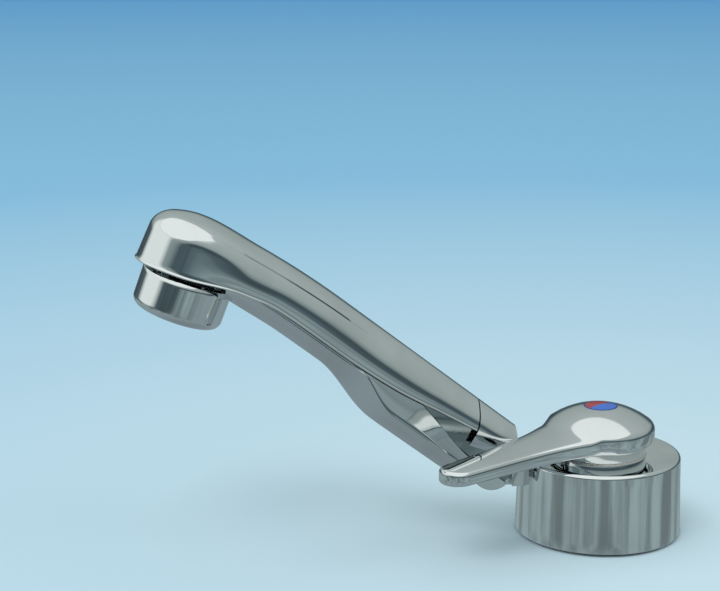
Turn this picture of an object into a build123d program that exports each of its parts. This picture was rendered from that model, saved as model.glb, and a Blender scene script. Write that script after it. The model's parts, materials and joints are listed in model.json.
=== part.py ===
from build123d import *
from math import asin, atan2, cos, degrees, radians, sin, sqrt, tan
import os

os.makedirs("parts", exist_ok=True)

# Single-lever mixer tap with a swivelling, fold-down spout, in millimetres.
# +Z is up, the origin is the tap's axis on the worktop, and the spout points along -Y.

# Clearances shared by every piece
running_gap = 0.1         # radial play of a turning fit
body_gap = 0.3            # air between pieces that move past each other
film_gap = 0.05           # flat faces that slide on each other
seam_gap = 0.35           # visible line between two covers
cut_over = 5.0            # how far a cutting solid reaches past what it cuts
cut_in = 1.0              # how far joined solids reach into each other

# Directions seen from above
lever_angle = 30.0        # lever at rest, from the spout towards +X
swivel_travel = 140.0     # the spout turns this far away from the lever
fold_travel = 33.0        # the spout folds down this far
lift_travel = 16.0        # the lever tips up this far

# Foot: shank, flange and what clamps them to the worktop
shank_radius = 16.0
shank_bore = 13.5
shank_length = 40.0
flange_inset = 0.4          # the flange stays this far inside the drum
flange_thickness = 2.5
gasket_inset = 0.2
gasket_thickness = 1.0
worktop_thickness = 18.0
backing_radius = 23.5
backing_gasket_thickness = 2.0
washer_thickness = 1.5
nut_flats = 41.0
nut_height = 8.0
nut_chamfer = 1.6
thread_play = 0.05
tail_radius = 5.0
tail_bore = 3.6
tail_spigot = 4.4
tail_length = 62.0
tail_spacing = 13.0
tail_socket = 2.5
tail_chamfer = 0.6

# Core column and the cartridge in it
core_radius = 19.0
core_top = 25.0
core_floor = 6.0
spigot_radius = 14.6
spigot_top = 30.0
cartridge_bore = 12.8
seal_groove_depth = 1.9
seal_groove_width = 2.1
seal_heights = (12.5, 22.5)
water_groove_height = 5.0
water_groove_centre = 17.5
water_groove_depth = 1.5
stop_radius = 1.2
stop_slack = 1.0            # degrees left at each end of the stop's arc
port_radius = 2.0
port_circle = 5.6
duct_radius = 1.8
rising_duct = 1.4
housing_radius = 12.5
housing_bore = 11.0
housing_height = 17.0
housing_cap = 1.5
base_seal_height = 1.0
base_seal_wall = 1.1
base_height = 4.0
base_step = 1.0
disc_radius = 10.6
disc_thickness = 3.0
inlet_sweep = 44.0          # degrees that each inlet slot runs round its disc
chamber_sweep = 100.0
moving_disc_radius = 8.2
slider_radius = 7.8
slider_flat = 6.4
slider_height = 3.0
carrier_disc = 2.0
carrier_radius = 10.6
carrier_stem = 7.8
carrier_top = 29.2
guide_thickness = 2.0
guide_length = 9.0
pivot_height = 27.0
pivot_pin_radius = 1.5
pin_recess = 0.4
spindle_width = 4.0
spindle_depth = 5.0
spindle_head = 6.0
spindle_arm = 8.0
spindle_ball = 1.8
spindle_neck = 1.4
spindle_top = 37.4
retaining_nut_height = 3.6
key_slot_depth = 1.2
key_slot_width = 2.4
key_slot_reach = 2.0
key_slot_count = 4
bush_thickness = 0.85

# Neck cap: a zone of a sphere about the lever's pivot
neck_radius = 16.5
neck_top = 34.0
neck_plate = 1.4
neck_hole = 9.0

# Collar: the visible drum, its sleeve and the hinge bracket
drum_height = 27.0
drum_bottom = 0.6
drum_wall = 1.6
drum_flare = 0.7            # the drum is this much wider at its foot
drum_edge = 1.2
drum_foot_edge = 0.4
sleeve_wall = 3.9
glide_thickness = 1.0
hinge_reach = 38.0
hinge_height = 24.5
barrel_radius = 7.0
knuckle_radius = 6.7
knuckle_half = 2.6
tongue_half = 4.4
tongue_bottom = 17.6
washer_gap = 0.6
washer_play = 0.05
hinge_washer_radius = 6.2
hinge_seal_radius = 4.2
hinge_pin_radius = 2.8
hinge_pin_bore = 1.5
hinge_pin_chamfer = 0.4
hinge_pin_half = 7.2
hinge_play = 0.05
pad_half = 8.0
pad_bottom = 6.4
pad_top = 24.8
pad_thickness = 2.1
bracket_screw_spread = 5.2
bracket_screw_height = 9.2
bracket_duct = 1.5
screw_end_gap = 0.5
screw_socket = 1.2
screw_socket_depth = 0.9
screw_radius = 1.5
screw_head_radius = 2.5
screw_head_height = 1.5
hood_nose = 29.2
hood_seat = 31.9
sleeve_bore = core_radius + running_gap
sleeve_radius = sleeve_bore + sleeve_wall
pad_radius = sleeve_radius + pad_thickness
drum_bore = pad_radius + body_gap
drum_top_radius = drum_bore + drum_wall
drum_base_radius = drum_top_radius + drum_flare
flange_radius = drum_bore - flange_inset
gasket_radius = flange_radius - gasket_inset

# Spout covers, measured along the slope of the spout and square to it
spout_slope = 37.75
top_line = 11.8           # height of the straight top line over the slope line through the origin
bend_start = 118.0        # where the top line begins to droop
bend_radius = 290.0
cover_wall = 1.6
lower_wall = 1.4
lower_inset = 0.5         # the lower cover's cheeks lie this far inside the upper cover
root_station = 50.0
root_half = 7.6
tip_station = 165.0
tip_half = 14.3
plan_power = 1.4          # how the covers' plan tapers between the two
# Station along the slope, crown height and shoulder radius of each section
cover_sections = ((50.0, 2.3, 2.2), (70.0, 2.7, 1.9), (98.0, 3.0, 1.3), (128.0, 3.1, 1.0), (150.0, 3.1, 1.2),
                  (162.0, 2.5, 3.2))
# The same for the fixed hood, with its own half-widths
hood_sections = ((38.0, 1.6, 1.6, 4.9), (50.0, 2.3, 2.2, 7.6), (64.0, 2.6, 2.0, 9.0))
cover_depth = 22.0
knee_share = 0.29           # a quarter circle's middle lies this share of its radius in from the corner
# The lower cover steps up from a deep root to a shallow arm
crease_low = -8.3
crease_high = -1.0
crease_step = (84.0, 107.0)
keel_low = -13.9
keel_high = -8.1
keel_step = (89.0, 115.0)
keel_root_rise = 0.9
keel_root_step = (50.0, 60.0)
keel_tip_drop = 1.2
keel_tip_step = (130.0, 152.0)
flank_slant = 0.85        # the flank's run for each millimetre of its height
crease_inset = 0.45         # the inner crease's rise for each millimetre of wall
lower_top = 8.0
lower_end = 152.0
lower_pitch = 3.0
seam_line = ((62.6, 12.6), (58.4, 4.9), (57.5, -0.7))
parting_line = ((50.0, 4.4), (72.0, 1.6), (88.0, -0.6), (105.0, -1.5), (138.0, -1.8), (153.0, -4.2), (166.0, -8.6))
window_line = ((46.0, -4.9), (60.5, -4.1), (82.0, -2.2))
window_rake = 4.0

# Spout head and nozzle, about an axis tilted outwards from the vertical
nozzle_tilt = 20.5
rim_setback = 1.55          # the nozzle's axis meets its rim this far before the tip station
rim_drop = -10.71           # and this far below the slope line
nozzle_radius = 14.75
nozzle_foot_radius = 14.6
nozzle_length = 13.2
nozzle_edge = 3.0
nozzle_gap = 0.6
nozzle_mouth = 10.9
nozzle_spigot = 7.5
nozzle_spigot_height = 6.0
nozzle_bore = 6.0
nozzle_neck = 13.3
nozzle_seat = -2.4
head_offset = 2.8
head_height = 19.5
head_radius = 15.3
head_crown = (7.9, 1.2)
head_shoulder = (14.4, 7.7)
head_knee_drop = 1.95
head_edge = 1.3
head_bury = 0.08           # the arm ends this far under the head's skin
elbow_radius = 10.2
elbow_height = 9.5
elbow_crown = 3.0
elbow_foot = 1.2
elbow_bore_height = 6.4
tube_radius = 3.1
tube_bore = 2.3
tube_line = -3.4
tube_start = 68.0
tube_end = 156.6
tube_overlap = 6.0
yoke_half = 6.3
fork_outer = 5.3
fork_inset = 0.4
fork_rise = (10.0, 10.4)
fork_heel = 2.0
yoke_duct = 0.9
manifold = 60.0
yoke_rear = ((58.6, -0.6), (59.2, 2.4), (61.0, 6.4))
yoke_keel = (60.0, -12.0)
keel_rake = 2.0
keel_half = 2.4
cheek_gap = 0.2
cheek_line = ((0.0, 2.0), (9.0, -4.4), (9.0, -10.0))
cheek_back = 2.0
mouth_reach = 8.2
yoke_end = 88.0
yoke_top = 6.4
yoke_bottom = -5.4
cover_screw_station = 72.0
cover_screw_radius = 1.2
cover_screw_head = 2.2
cover_screw_head_height = 0.8
cover_screw_sink = 0.2
cover_screw_length = 5.4
cross_slot = (2.6, 0.6)
cross_slot_depth = 0.5
aerator_radius = 10.7
aerator_recess = 1.2
aerator_wall = 1.3
aerator_floor = 1.4
aerator_hole = 0.6
aerator_hole_circle = 5.4
aerator_hole_count = 12
cross_width = 1.0
cross_height = 1.2
cross_hub = 2.2
mesh_thickness = 0.5
mesh_lift = 0.6
mesh_pitch = 1.7
mesh_opening = 1.1
mesh_count = 9
mesh_rim = 0.9
nozzle_seal_height = 1.0

# Lever
head_r = 18.2
skirt_bottom = 31.0
head_side_top = 37.0
dome_top = 43.5
lever_wall = 1.25
skirt_relief = 1.9
arm_reach = 69.0
arm_tip_radius = 6.0
arm_tip_top = 34.3
arm_tip_bottom = 29.6
arm_edge = 1.1
arm_root = (11.9, 13.25)     # the arm starts inside the head here
arm_waist = ((26.5, 9.3), (36.0, 7.9))
arm_top_line = ((8.0, 42.0), (16.0, 38.6), (24.0, 36.7), (40.0, 35.6))
arm_throat = 24.0
arm_tip_slant = 87.0
head_crust = 1.8
boss_radius = 5.0
boss_bottom = 31.5
index_radius = 5.65
index_depth = 1.1
index_sink = 0.5
index_inlay_radius = 5.1
index_inlay_depth = 0.55
lever_screw_radius = 1.6
lever_screw_head = 3.4
lever_screw_head_height = 2.6
lever_screw_length = 5.4
lever_screw_gap = 0.4
lever_socket = 1.6

# Planes
spout_plane = Plane(origin=(0, 0, 0), x_dir=(0, -1, 0), z_dir=(-1, 0, 0))
slope = radians(spout_slope)
slope_plane = Plane(origin=(0, 0, 0), x_dir=(0, -cos(slope), sin(slope)), z_dir=(-1, 0, 0))
turn = radians(lever_angle)
along_lever = (sin(turn), -cos(turn), 0)
lever_plane = Plane(origin=(0, 0, 0), x_dir=along_lever, z_dir=(-cos(turn), -sin(turn), 0))
lever_top_plane = Plane(origin=(0, 0, 0), x_dir=along_lever, z_dir=(0, 0, 1))


def slope_point(u, n):
    """Point of the spout's mid-plane, u along the slope and n square to it."""
    return slope_plane.from_local_coords((u, n, 0))


def to_side(u, n):
    """The same point as reach from the tap's axis and height."""
    return (u * cos(slope) - n * sin(slope), u * sin(slope) + n * cos(slope))


def step_up(station, limits):
    """Smooth rise from 0 to 1 between two stations."""
    share = min(1.0, max(0.0, (station - limits[0]) / (limits[1] - limits[0])))
    return share * share * (3 - 2 * share)


def keel_height(station):
    """Height of the lower cover's underside at a station along the slope."""
    bottom = keel_low + (keel_high - keel_low) * step_up(station, keel_step)
    return bottom + keel_root_rise * (1 - step_up(station, keel_root_step)) - keel_tip_drop * step_up(
        station, keel_tip_step)


def screw_hole(radius, sink, depth):
    """Hole for the lower cover's screw, from a sink above the keel to a depth above that."""
    low = keel_height(cover_screw_station) + sink
    with BuildSketch(Plane(origin=slope_point(cover_screw_station, low), x_dir=(1, 0, 0),
                           z_dir=(0, sin(slope), cos(slope)))) as base:
        Circle(radius)
    extrude(base.sketch, amount=depth, mode=Mode.SUBTRACT)


def ring(inner, outer, low, high):
    """Plain ring about the tap's axis."""
    with BuildSketch(Plane.XY.offset(low)) as base:
        Circle(outer)
        Circle(inner, mode=Mode.SUBTRACT)
    extrude(base.sketch, amount=high - low)


def drill(x, height, radius, start, end):
    """Round hole along the slope, x to the side of the mid-plane and at one height over the slope line."""
    with BuildSketch(Plane(origin=slope_point(start, height) + Vector(x, 0, 0), x_dir=(1, 0, 0),
                           z_dir=(0, -cos(slope), sin(slope)))) as base:
        Circle(radius)
    extrude(base.sketch, amount=end - start, mode=Mode.SUBTRACT)


# Foot of the tap

with BuildPart() as core_body:
    shank_end = -shank_length
    with BuildSketch(spout_plane):
        with BuildLine():
            Polyline((0, 0), (shank_bore, 0), (shank_bore, shank_end), (shank_radius, shank_end),
                     (shank_radius, gasket_thickness), (flange_radius, gasket_thickness),
                     (flange_radius, gasket_thickness + flange_thickness),
                     (core_radius, gasket_thickness + flange_thickness), (core_radius, core_top),
                     (spigot_radius, core_top), (spigot_radius, spigot_top), (cartridge_bore, spigot_top),
                     (cartridge_bore, core_floor), (0, core_floor), close=True)
        make_face()
    revolve()
    # Grooves for the two seals, the water ring between them and the stop's arc
    for height in seal_heights:
        with BuildSketch(Plane.XY.offset(height - seal_groove_width / 2)):
            Circle(core_radius + cut_over)
            Circle(core_radius - seal_groove_depth, mode=Mode.SUBTRACT)
        extrude(amount=seal_groove_width, mode=Mode.SUBTRACT)
    with BuildSketch(Plane.XY.offset(water_groove_centre - water_groove_height / 2)):
        Circle(core_radius + cut_over)
        Circle(core_radius - water_groove_depth, mode=Mode.SUBTRACT)
    extrude(amount=water_groove_height, mode=Mode.SUBTRACT)
    stop_height = (gasket_thickness + flange_thickness + seal_heights[0]) / 2
    stop_margin = degrees(asin((stop_radius + body_gap) / core_radius)) + stop_slack
    arc_start = radians(90 - swivel_travel - stop_margin)
    with BuildSketch(Plane(origin=(0, 0, 0), x_dir=(cos(arc_start), sin(arc_start), 0),
                           z_dir=(sin(arc_start), -cos(arc_start), 0))):
        with Locations((core_radius, stop_height)):
            Rectangle(2 * water_groove_depth, 2 * stop_radius + 2 * body_gap)
    revolve(revolution_arc=swivel_travel + 2 * stop_margin, mode=Mode.SUBTRACT)
    # Hot and cold ports, sockets for the two tails, and the mixed water's duct to the water ring
    with BuildSketch(Plane.XY):
        with Locations((tail_spacing / 2, 0), (-tail_spacing / 2, 0)):
            Circle(tail_spigot)
    extrude(amount=tail_socket, mode=Mode.SUBTRACT)
    with BuildSketch(Plane.XY):
        with Locations((port_circle, 0), (-port_circle, 0)):
            Circle(port_radius)
    extrude(amount=core_floor, mode=Mode.SUBTRACT)
    duct_reach = (cartridge_bore + core_radius - water_groove_depth) / 2
    with BuildSketch(Plane.XY.offset(core_floor - 2 * duct_radius)):
        with Locations((0, port_circle)):
            Circle(port_radius)
    extrude(amount=2 * duct_radius, mode=Mode.SUBTRACT)
    with BuildSketch(Plane.XZ.offset(-port_circle)):
        with Locations((0, core_floor - duct_radius)):
            Circle(rising_duct)
    extrude(amount=-(duct_reach - port_circle), mode=Mode.SUBTRACT)
    with BuildSketch(Plane.XY.offset(core_floor - 2 * duct_radius)):
        with Locations((0, duct_reach)):
            Circle(rising_duct)
    extrude(amount=water_groove_centre - core_floor + 2 * duct_radius, mode=Mode.SUBTRACT)
    with BuildSketch(Plane.XZ.offset(-duct_reach)):
        with Locations((0, water_groove_centre)):
            Circle(rising_duct)
    extrude(amount=-(core_radius - duct_reach), mode=Mode.SUBTRACT)
core_body.part.label = "core_body"
export_step(core_body.part, "parts/core_body.step")

with BuildPart() as deck_gasket:
    ring(shank_radius + running_gap, gasket_radius, 0, gasket_thickness)
deck_gasket.part.label = "deck_gasket"
export_step(deck_gasket.part, "parts/deck_gasket.step")

gasket_low = -worktop_thickness - backing_gasket_thickness
with BuildPart() as backing_gasket:
    ring(shank_radius + running_gap, backing_radius, gasket_low, -worktop_thickness)
backing_gasket.part.label = "backing_gasket"
export_step(backing_gasket.part, "parts/backing_gasket.step")

washer_low = gasket_low - washer_thickness
with BuildPart() as backing_washer:
    ring(shank_radius + running_gap, backing_radius, washer_low, gasket_low)
backing_washer.part.label = "backing_washer"
export_step(backing_washer.part, "parts/backing_washer.step")

with BuildPart() as fixing_nut:
    with BuildSketch(Plane.XY.offset(washer_low - nut_height)):
        RegularPolygon(nut_flats / 2, 6, major_radius=False)
        Circle(shank_radius + thread_play, mode=Mode.SUBTRACT)
    extrude(amount=nut_height)
    # The hexagon's corners are turned down on the free side
    with BuildSketch(spout_plane):
        with BuildLine():
            nut_low = washer_low - nut_height
            past_corner = nut_flats / sqrt(3) + nut_chamfer / 2
            Polyline((nut_flats / 2, nut_low), (past_corner, nut_low), (past_corner, nut_low + nut_chamfer),
                     close=True)
        make_face()
    revolve(mode=Mode.SUBTRACT)
fixing_nut.part.label = "fixing_nut"
export_step(fixing_nut.part, "parts/fixing_nut.step")

for name, side in (("hot_inlet", -1), ("cold_inlet", 1)):
    with BuildPart() as inlet:
        with BuildSketch(Plane.XY.offset(-tail_length)):
            with Locations((side * tail_spacing / 2, 0)):
                Circle(tail_radius)
        extrude(amount=tail_length)
        chamfer(inlet.faces().sort_by(Axis.Z)[0].edges(), tail_chamfer)
        with BuildSketch(Plane.XY):
            with Locations((side * tail_spacing / 2, 0)):
                Circle(tail_spigot)
        extrude(amount=tail_socket)
        with BuildSketch(Plane.XY.offset(-tail_length)):
            with Locations((side * tail_spacing / 2, 0)):
                Circle(tail_bore)
        extrude(amount=tail_length + tail_socket, mode=Mode.SUBTRACT)
    inlet.part.label = name
    export_step(inlet.part, f"parts/{name}.step")

# Cartridge

base_low = core_floor + base_seal_height
base_top = base_low + base_height
port_places = ((port_circle, 0), (-port_circle, 0), (0, port_circle))
with BuildPart() as base_seals:
    with BuildSketch(Plane.XY.offset(core_floor)):
        with Locations(*port_places):
            Circle(port_radius + base_seal_wall)
            Circle(port_radius, mode=Mode.SUBTRACT)
    extrude(amount=base_seal_height)
base_seals.part.label = "base_seals"
export_step(base_seals.part, "parts/base_seals.step")

with BuildPart() as cartridge_base:
    with BuildSketch(Plane.XY.offset(base_low)):
        Circle(housing_radius)
    extrude(amount=base_height - base_step)
    with BuildSketch(Plane.XY.offset(base_top - base_step)):
        Circle(housing_bore)
    extrude(amount=base_step)
    with BuildSketch(Plane.XY.offset(base_low)):
        with Locations(*port_places):
            Circle(port_radius)
    extrude(amount=base_height, mode=Mode.SUBTRACT)
cartridge_base.part.label = "cartridge_base"
export_step(cartridge_base.part, "parts/cartridge_base.step")

disc_top = base_top + disc_thickness
with BuildPart() as fixed_disc:
    with BuildSketch(Plane.XY.offset(base_top)):
        Circle(disc_radius)
        # Two curved inlet slots face each other, and the outlet lies between them
        for middle in (0.0, 180.0):
            inlet_line = CenterArc((0, 0), port_circle, middle - inlet_sweep / 2, inlet_sweep)
            SlotArc(inlet_line, 1.5 * port_radius, mode=Mode.SUBTRACT)
        with Locations((0, port_circle)):
            Circle(port_radius, mode=Mode.SUBTRACT)
    extrude(amount=disc_thickness)
fixed_disc.part.label = "fixed_disc"
export_step(fixed_disc.part, "parts/fixed_disc.step")

moving_low = disc_top + film_gap
moving_top = moving_low + disc_thickness
with BuildPart() as moving_disc:
    with BuildSketch(Plane.XY.offset(moving_low)):
        Circle(moving_disc_radius)
    extrude(amount=disc_thickness)
    # The mixing chamber is a kidney sunk in the sliding face
    with BuildSketch(Plane.XY.offset(moving_low)):
        chamber_line = CenterArc((0, 0), port_circle - port_radius / 2, 90 - chamber_sweep / 2, chamber_sweep)
        SlotArc(chamber_line, 2 * port_radius)
    extrude(amount=disc_thickness / 2, mode=Mode.SUBTRACT)
moving_disc.part.label = "moving_disc"
export_step(moving_disc.part, "parts/moving_disc.step")

slider_top = moving_top + slider_height
with BuildPart() as disc_slider:
    with BuildSketch(lever_top_plane.offset(moving_top)):
        Circle(slider_radius)
        Rectangle(2 * slider_radius, 2 * slider_flat, mode=Mode.INTERSECT)
        Circle(spindle_ball + body_gap, mode=Mode.SUBTRACT)
    extrude(amount=slider_height)
disc_slider.part.label = "disc_slider"
export_step(disc_slider.part, "parts/disc_slider.step")

housing_low = base_top - base_step
housing_top = slider_top + body_gap + carrier_disc + body_gap + housing_cap
with BuildPart() as cartridge_housing:
    with BuildSketch(spout_plane):
        with BuildLine():
            stem_bore = carrier_stem + body_gap
            Polyline((housing_bore, housing_low), (housing_radius, housing_low), (housing_radius, housing_top),
                     (stem_bore, housing_top), (stem_bore, housing_top - housing_cap),
                     (housing_bore, housing_top - housing_cap), close=True)
        make_face()
    revolve()
cartridge_housing.part.label = "cartridge_housing"
export_step(cartridge_housing.part, "parts/cartridge_housing.step")

carrier_low = slider_top + body_gap
with BuildPart() as spindle_carrier:
    with BuildSketch(Plane.XY.offset(carrier_low)):
        Circle(carrier_radius)
    extrude(amount=carrier_disc)
    with BuildSketch(Plane.XY.offset(carrier_low)):
        Circle(carrier_stem)
    extrude(amount=carrier_top - carrier_low)
    # Two guides reach down beside the slider and turn it with the lever
    guide_place = slider_flat + body_gap + guide_thickness / 2
    guide_low = moving_top + body_gap
    with BuildSketch(lever_top_plane.offset(guide_low)):
        with Locations((0, guide_place), (0, -guide_place)):
            Rectangle(guide_length, guide_thickness)
    extrude(amount=carrier_low - guide_low)
    # The spindle tips inside a slot and hangs on the pivot pin
    with BuildSketch(lever_top_plane.offset(carrier_low - cut_over)):
        Rectangle(2 * (spindle_depth / 2 + spindle_arm * tan(radians(lift_travel)) + body_gap),
                  spindle_width + 2 * running_gap)
    extrude(amount=carrier_top - carrier_low + 2 * cut_over, mode=Mode.SUBTRACT)
    with BuildSketch(lever_plane):
        with Locations((0, pivot_height)):
            Circle(pivot_pin_radius)
    extrude(amount=carrier_stem, both=True, mode=Mode.SUBTRACT)
spindle_carrier.part.label = "spindle_carrier"
export_step(spindle_carrier.part, "parts/spindle_carrier.step")

with BuildPart() as pivot_pin:
    with BuildSketch(lever_plane):
        with Locations((0, pivot_height)):
            Circle(pivot_pin_radius)
    extrude(amount=carrier_stem - pin_recess, both=True)
pivot_pin.part.label = "pivot_pin"
export_step(pivot_pin.part, "parts/pivot_pin.step")

with BuildPart() as retaining_nut:
    ring(carrier_stem + body_gap, cartridge_bore - thread_play, housing_top, housing_top + retaining_nut_height)
    # Key slots in its top face
    with BuildSketch(Plane.XY.offset(housing_top + retaining_nut_height - key_slot_depth)):
        with PolarLocations(cartridge_bore, key_slot_count):
            Rectangle(2 * key_slot_reach, key_slot_width)
    extrude(amount=2 * key_slot_depth, mode=Mode.SUBTRACT)
retaining_nut.part.label = "retaining_nut"
export_step(retaining_nut.part, "parts/retaining_nut.step")

cap_low = drum_height + body_gap
with BuildPart() as neck_cap:
    with BuildSketch(spout_plane):
        with BuildLine():
            cap_edge = sqrt(neck_radius**2 - (cap_low - pivot_height) ** 2)
            cap_rim = sqrt(neck_radius**2 - (neck_top - pivot_height) ** 2)
            middle = (neck_top - pivot_height) / 2
            thread_bore = spigot_radius + thread_play
            inner_roof = neck_top - neck_plate
            Line((thread_bore, cap_low), (cap_edge, cap_low))
            ThreePointArc((cap_edge, cap_low), (sqrt(neck_radius**2 - middle**2), pivot_height + middle),
                          (cap_rim, neck_top))
            Polyline((cap_rim, neck_top), (neck_hole, neck_top), (neck_hole, inner_roof),
                     (cap_rim - neck_plate, inner_roof), (thread_bore, spigot_top), (thread_bore, cap_low))
        make_face()
    revolve()
neck_cap.part.label = "neck_cap"
export_step(neck_cap.part, "parts/neck_cap.step")

# Seals and glides of the swivel

with BuildPart() as swivel_seals:
    seal_wire = (sleeve_bore - core_radius + seal_groove_depth - film_gap) / 2
    for height in seal_heights:
        with BuildSketch(spout_plane):
            with Locations((core_radius - seal_groove_depth + seal_wire, height)):
                Rectangle(2 * seal_wire, 2 * seal_wire)
        revolve()
swivel_seals.part.label = "swivel_seals"
export_step(swivel_seals.part, "parts/swivel_seals.step")

glide_low = gasket_thickness + flange_thickness
with BuildPart() as glide_ring:
    ring(sleeve_bore, sleeve_radius, glide_low, glide_low + glide_thickness)
glide_ring.part.label = "glide_ring"
export_step(glide_ring.part, "parts/glide_ring.step")

drum_hole = spigot_radius + bush_thickness + 2 * running_gap
with BuildPart() as neck_bush:
    ring(spigot_radius + running_gap, spigot_radius + running_gap + bush_thickness, core_top, cap_low)
neck_bush.part.label = "neck_bush"
export_step(neck_bush.part, "parts/neck_bush.step")

# Collar that carries the spout round

sleeve_low = glide_low + glide_thickness + running_gap
plate_low = drum_height - drum_wall
pin_centre = (hinge_reach, hinge_height)
duct_start = (sleeve_bore, water_groove_centre + bracket_duct)
duct_tilt = atan2(pin_centre[1] - duct_start[1], pin_centre[0] - duct_start[0])
duct_plane = Plane(origin=(0, -duct_start[0] + cut_in, duct_start[1]), x_dir=(1, 0, 0),
                   z_dir=(0, -cos(duct_tilt), sin(duct_tilt)))
duct_length = sqrt((pin_centre[0] - duct_start[0]) ** 2 + (pin_centre[1] - duct_start[1]) ** 2) + cut_in
screw_places = ((bracket_screw_spread, bracket_screw_height), (-bracket_screw_spread, bracket_screw_height))
with BuildPart() as collar_sleeve:
    ring(sleeve_bore, sleeve_radius, sleeve_low, plate_low)
    with BuildSketch(duct_plane):
        Circle(bracket_duct)
    extrude(amount=duct_length, mode=Mode.SUBTRACT)
    # Holes for the bracket's screws at the front and for the stop at the rear
    with BuildSketch(Plane.XZ):
        with Locations(*screw_places):
            Circle(screw_radius + thread_play)
    extrude(amount=sleeve_radius, mode=Mode.SUBTRACT)
    with BuildSketch(Plane.XZ):
        with Locations(*screw_places):
            Circle(screw_head_radius + running_gap)
    extrude(amount=sleeve_bore + 2 * running_gap + screw_head_height, mode=Mode.SUBTRACT)
    with BuildSketch(Plane.XZ):
        with Locations((0, stop_height)):
            Circle(stop_radius)
    extrude(amount=-sleeve_radius, mode=Mode.SUBTRACT)
collar_sleeve.part.label = "collar_sleeve"
export_step(collar_sleeve.part, "parts/collar_sleeve.step")

with BuildPart() as swivel_stop:
    stop_tip = core_radius - water_groove_depth + body_gap
    with BuildSketch(Plane.XZ.offset(-stop_tip)):
        with Locations((0, stop_height)):
            Circle(stop_radius)
    extrude(amount=-(sleeve_radius - stop_tip - body_gap))
swivel_stop.part.label = "swivel_stop"
export_step(swivel_stop.part, "parts/swivel_stop.step")

with BuildPart() as collar_shell:
    with BuildSketch(spout_plane):
        with BuildLine():
            Polyline((drum_bore, drum_bottom), (drum_base_radius, drum_bottom), (drum_top_radius, drum_height),
                     (drum_hole, drum_height), (drum_hole, plate_low), (drum_bore, plate_low), close=True)
        make_face()
    revolve()
    fillet(collar_shell.faces().sort_by(Axis.Z)[-1].edges().sort_by(SortBy.LENGTH)[-1], drum_edge)
    fillet(collar_shell.faces().sort_by(Axis.Z)[0].edges().sort_by(SortBy.LENGTH)[-1], drum_foot_edge)
    # Window for the hinge bracket
    with BuildSketch(Plane.XZ.offset(sleeve_radius)):
        with BuildLine():
            Polyline((-tongue_half - running_gap, tongue_bottom - running_gap),
                     (tongue_half + running_gap, tongue_bottom - running_gap),
                     (tongue_half + running_gap, plate_low), (-tongue_half - running_gap, plate_low), close=True)
        make_face()
    extrude(amount=2 * cut_over, mode=Mode.SUBTRACT)
collar_shell.part.label = "collar_shell"
export_step(collar_shell.part, "parts/collar_shell.step")

barrel_clear = barrel_radius + body_gap
with BuildPart() as hinge_bracket:
    # Pad screwed to the sleeve
    with BuildSketch(Plane.XY.offset(pad_bottom)):
        Circle(pad_radius)
        Circle(sleeve_radius, mode=Mode.SUBTRACT)
        with Locations((0, -pad_radius)):
            Rectangle(2 * pad_half, pad_radius, mode=Mode.INTERSECT)
    extrude(amount=pad_top - pad_bottom)
    # Tongue through the drum's wall, with a web up to the hood's seat
    with BuildSketch(spout_plane):
        with BuildLine():
            tongue_end = hinge_reach - barrel_clear
            Polyline((sleeve_radius + cut_in, tongue_bottom), (tongue_end, tongue_bottom), (tongue_end, hood_seat),
                     (drum_top_radius + body_gap, hood_seat), (drum_top_radius + body_gap, pad_top),
                     (sleeve_radius + cut_in, pad_top), close=True)
        make_face()
    extrude(amount=tongue_half, both=True)
    with BuildSketch(spout_plane):
        with BuildLine():
            Polyline((tongue_end - cut_in, tongue_bottom), (hinge_reach, tongue_bottom), (hinge_reach, hood_seat),
                     (tongue_end - cut_in, hood_seat), close=True)
        make_face()
        with Locations(pin_centre):
            Circle(hinge_height - tongue_bottom)
    extrude(amount=knuckle_half, both=True)
    with BuildSketch(spout_plane):
        with Locations(pin_centre):
            Circle(hinge_pin_radius)
    extrude(amount=tongue_half, both=True, mode=Mode.SUBTRACT)
    with BuildSketch(duct_plane):
        Circle(bracket_duct)
    extrude(amount=duct_length, mode=Mode.SUBTRACT)
    with BuildSketch(Plane.XZ):
        with Locations(*screw_places):
            Circle(screw_radius)
    extrude(amount=pad_radius - body_gap, mode=Mode.SUBTRACT)
hinge_bracket.part.label = "hinge_bracket"
export_step(hinge_bracket.part, "parts/hinge_bracket.step")

with BuildPart() as bracket_screws:
    for x, z in screw_places:
        head_seat = sleeve_bore + 2 * running_gap
        with BuildSketch(Plane.XZ.offset(head_seat)):
            with Locations((x, z)):
                Circle(screw_head_radius)
        extrude(amount=screw_head_height)
        with BuildSketch(Plane.XZ.offset(head_seat + screw_head_height)):
            with Locations((x, z)):
                Circle(screw_radius)
        extrude(amount=pad_radius - body_gap - screw_end_gap - head_seat - screw_head_height)
        # Hexagon socket
        with BuildSketch(Plane.XZ.offset(head_seat)):
            with Locations((x, z)):
                RegularPolygon(screw_socket, 6)
        extrude(amount=screw_socket_depth, mode=Mode.SUBTRACT)
bracket_screws.part.label = "bracket_screws"
export_step(bracket_screws.part, "parts/bracket_screws.step")


def half_width(station):
    """Half-width of the upper cover at a station along the slope."""
    share = max(0.0, (tip_station - station) / (tip_station - root_station))
    return tip_half - (tip_half - root_half) * share**plan_power


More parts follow.
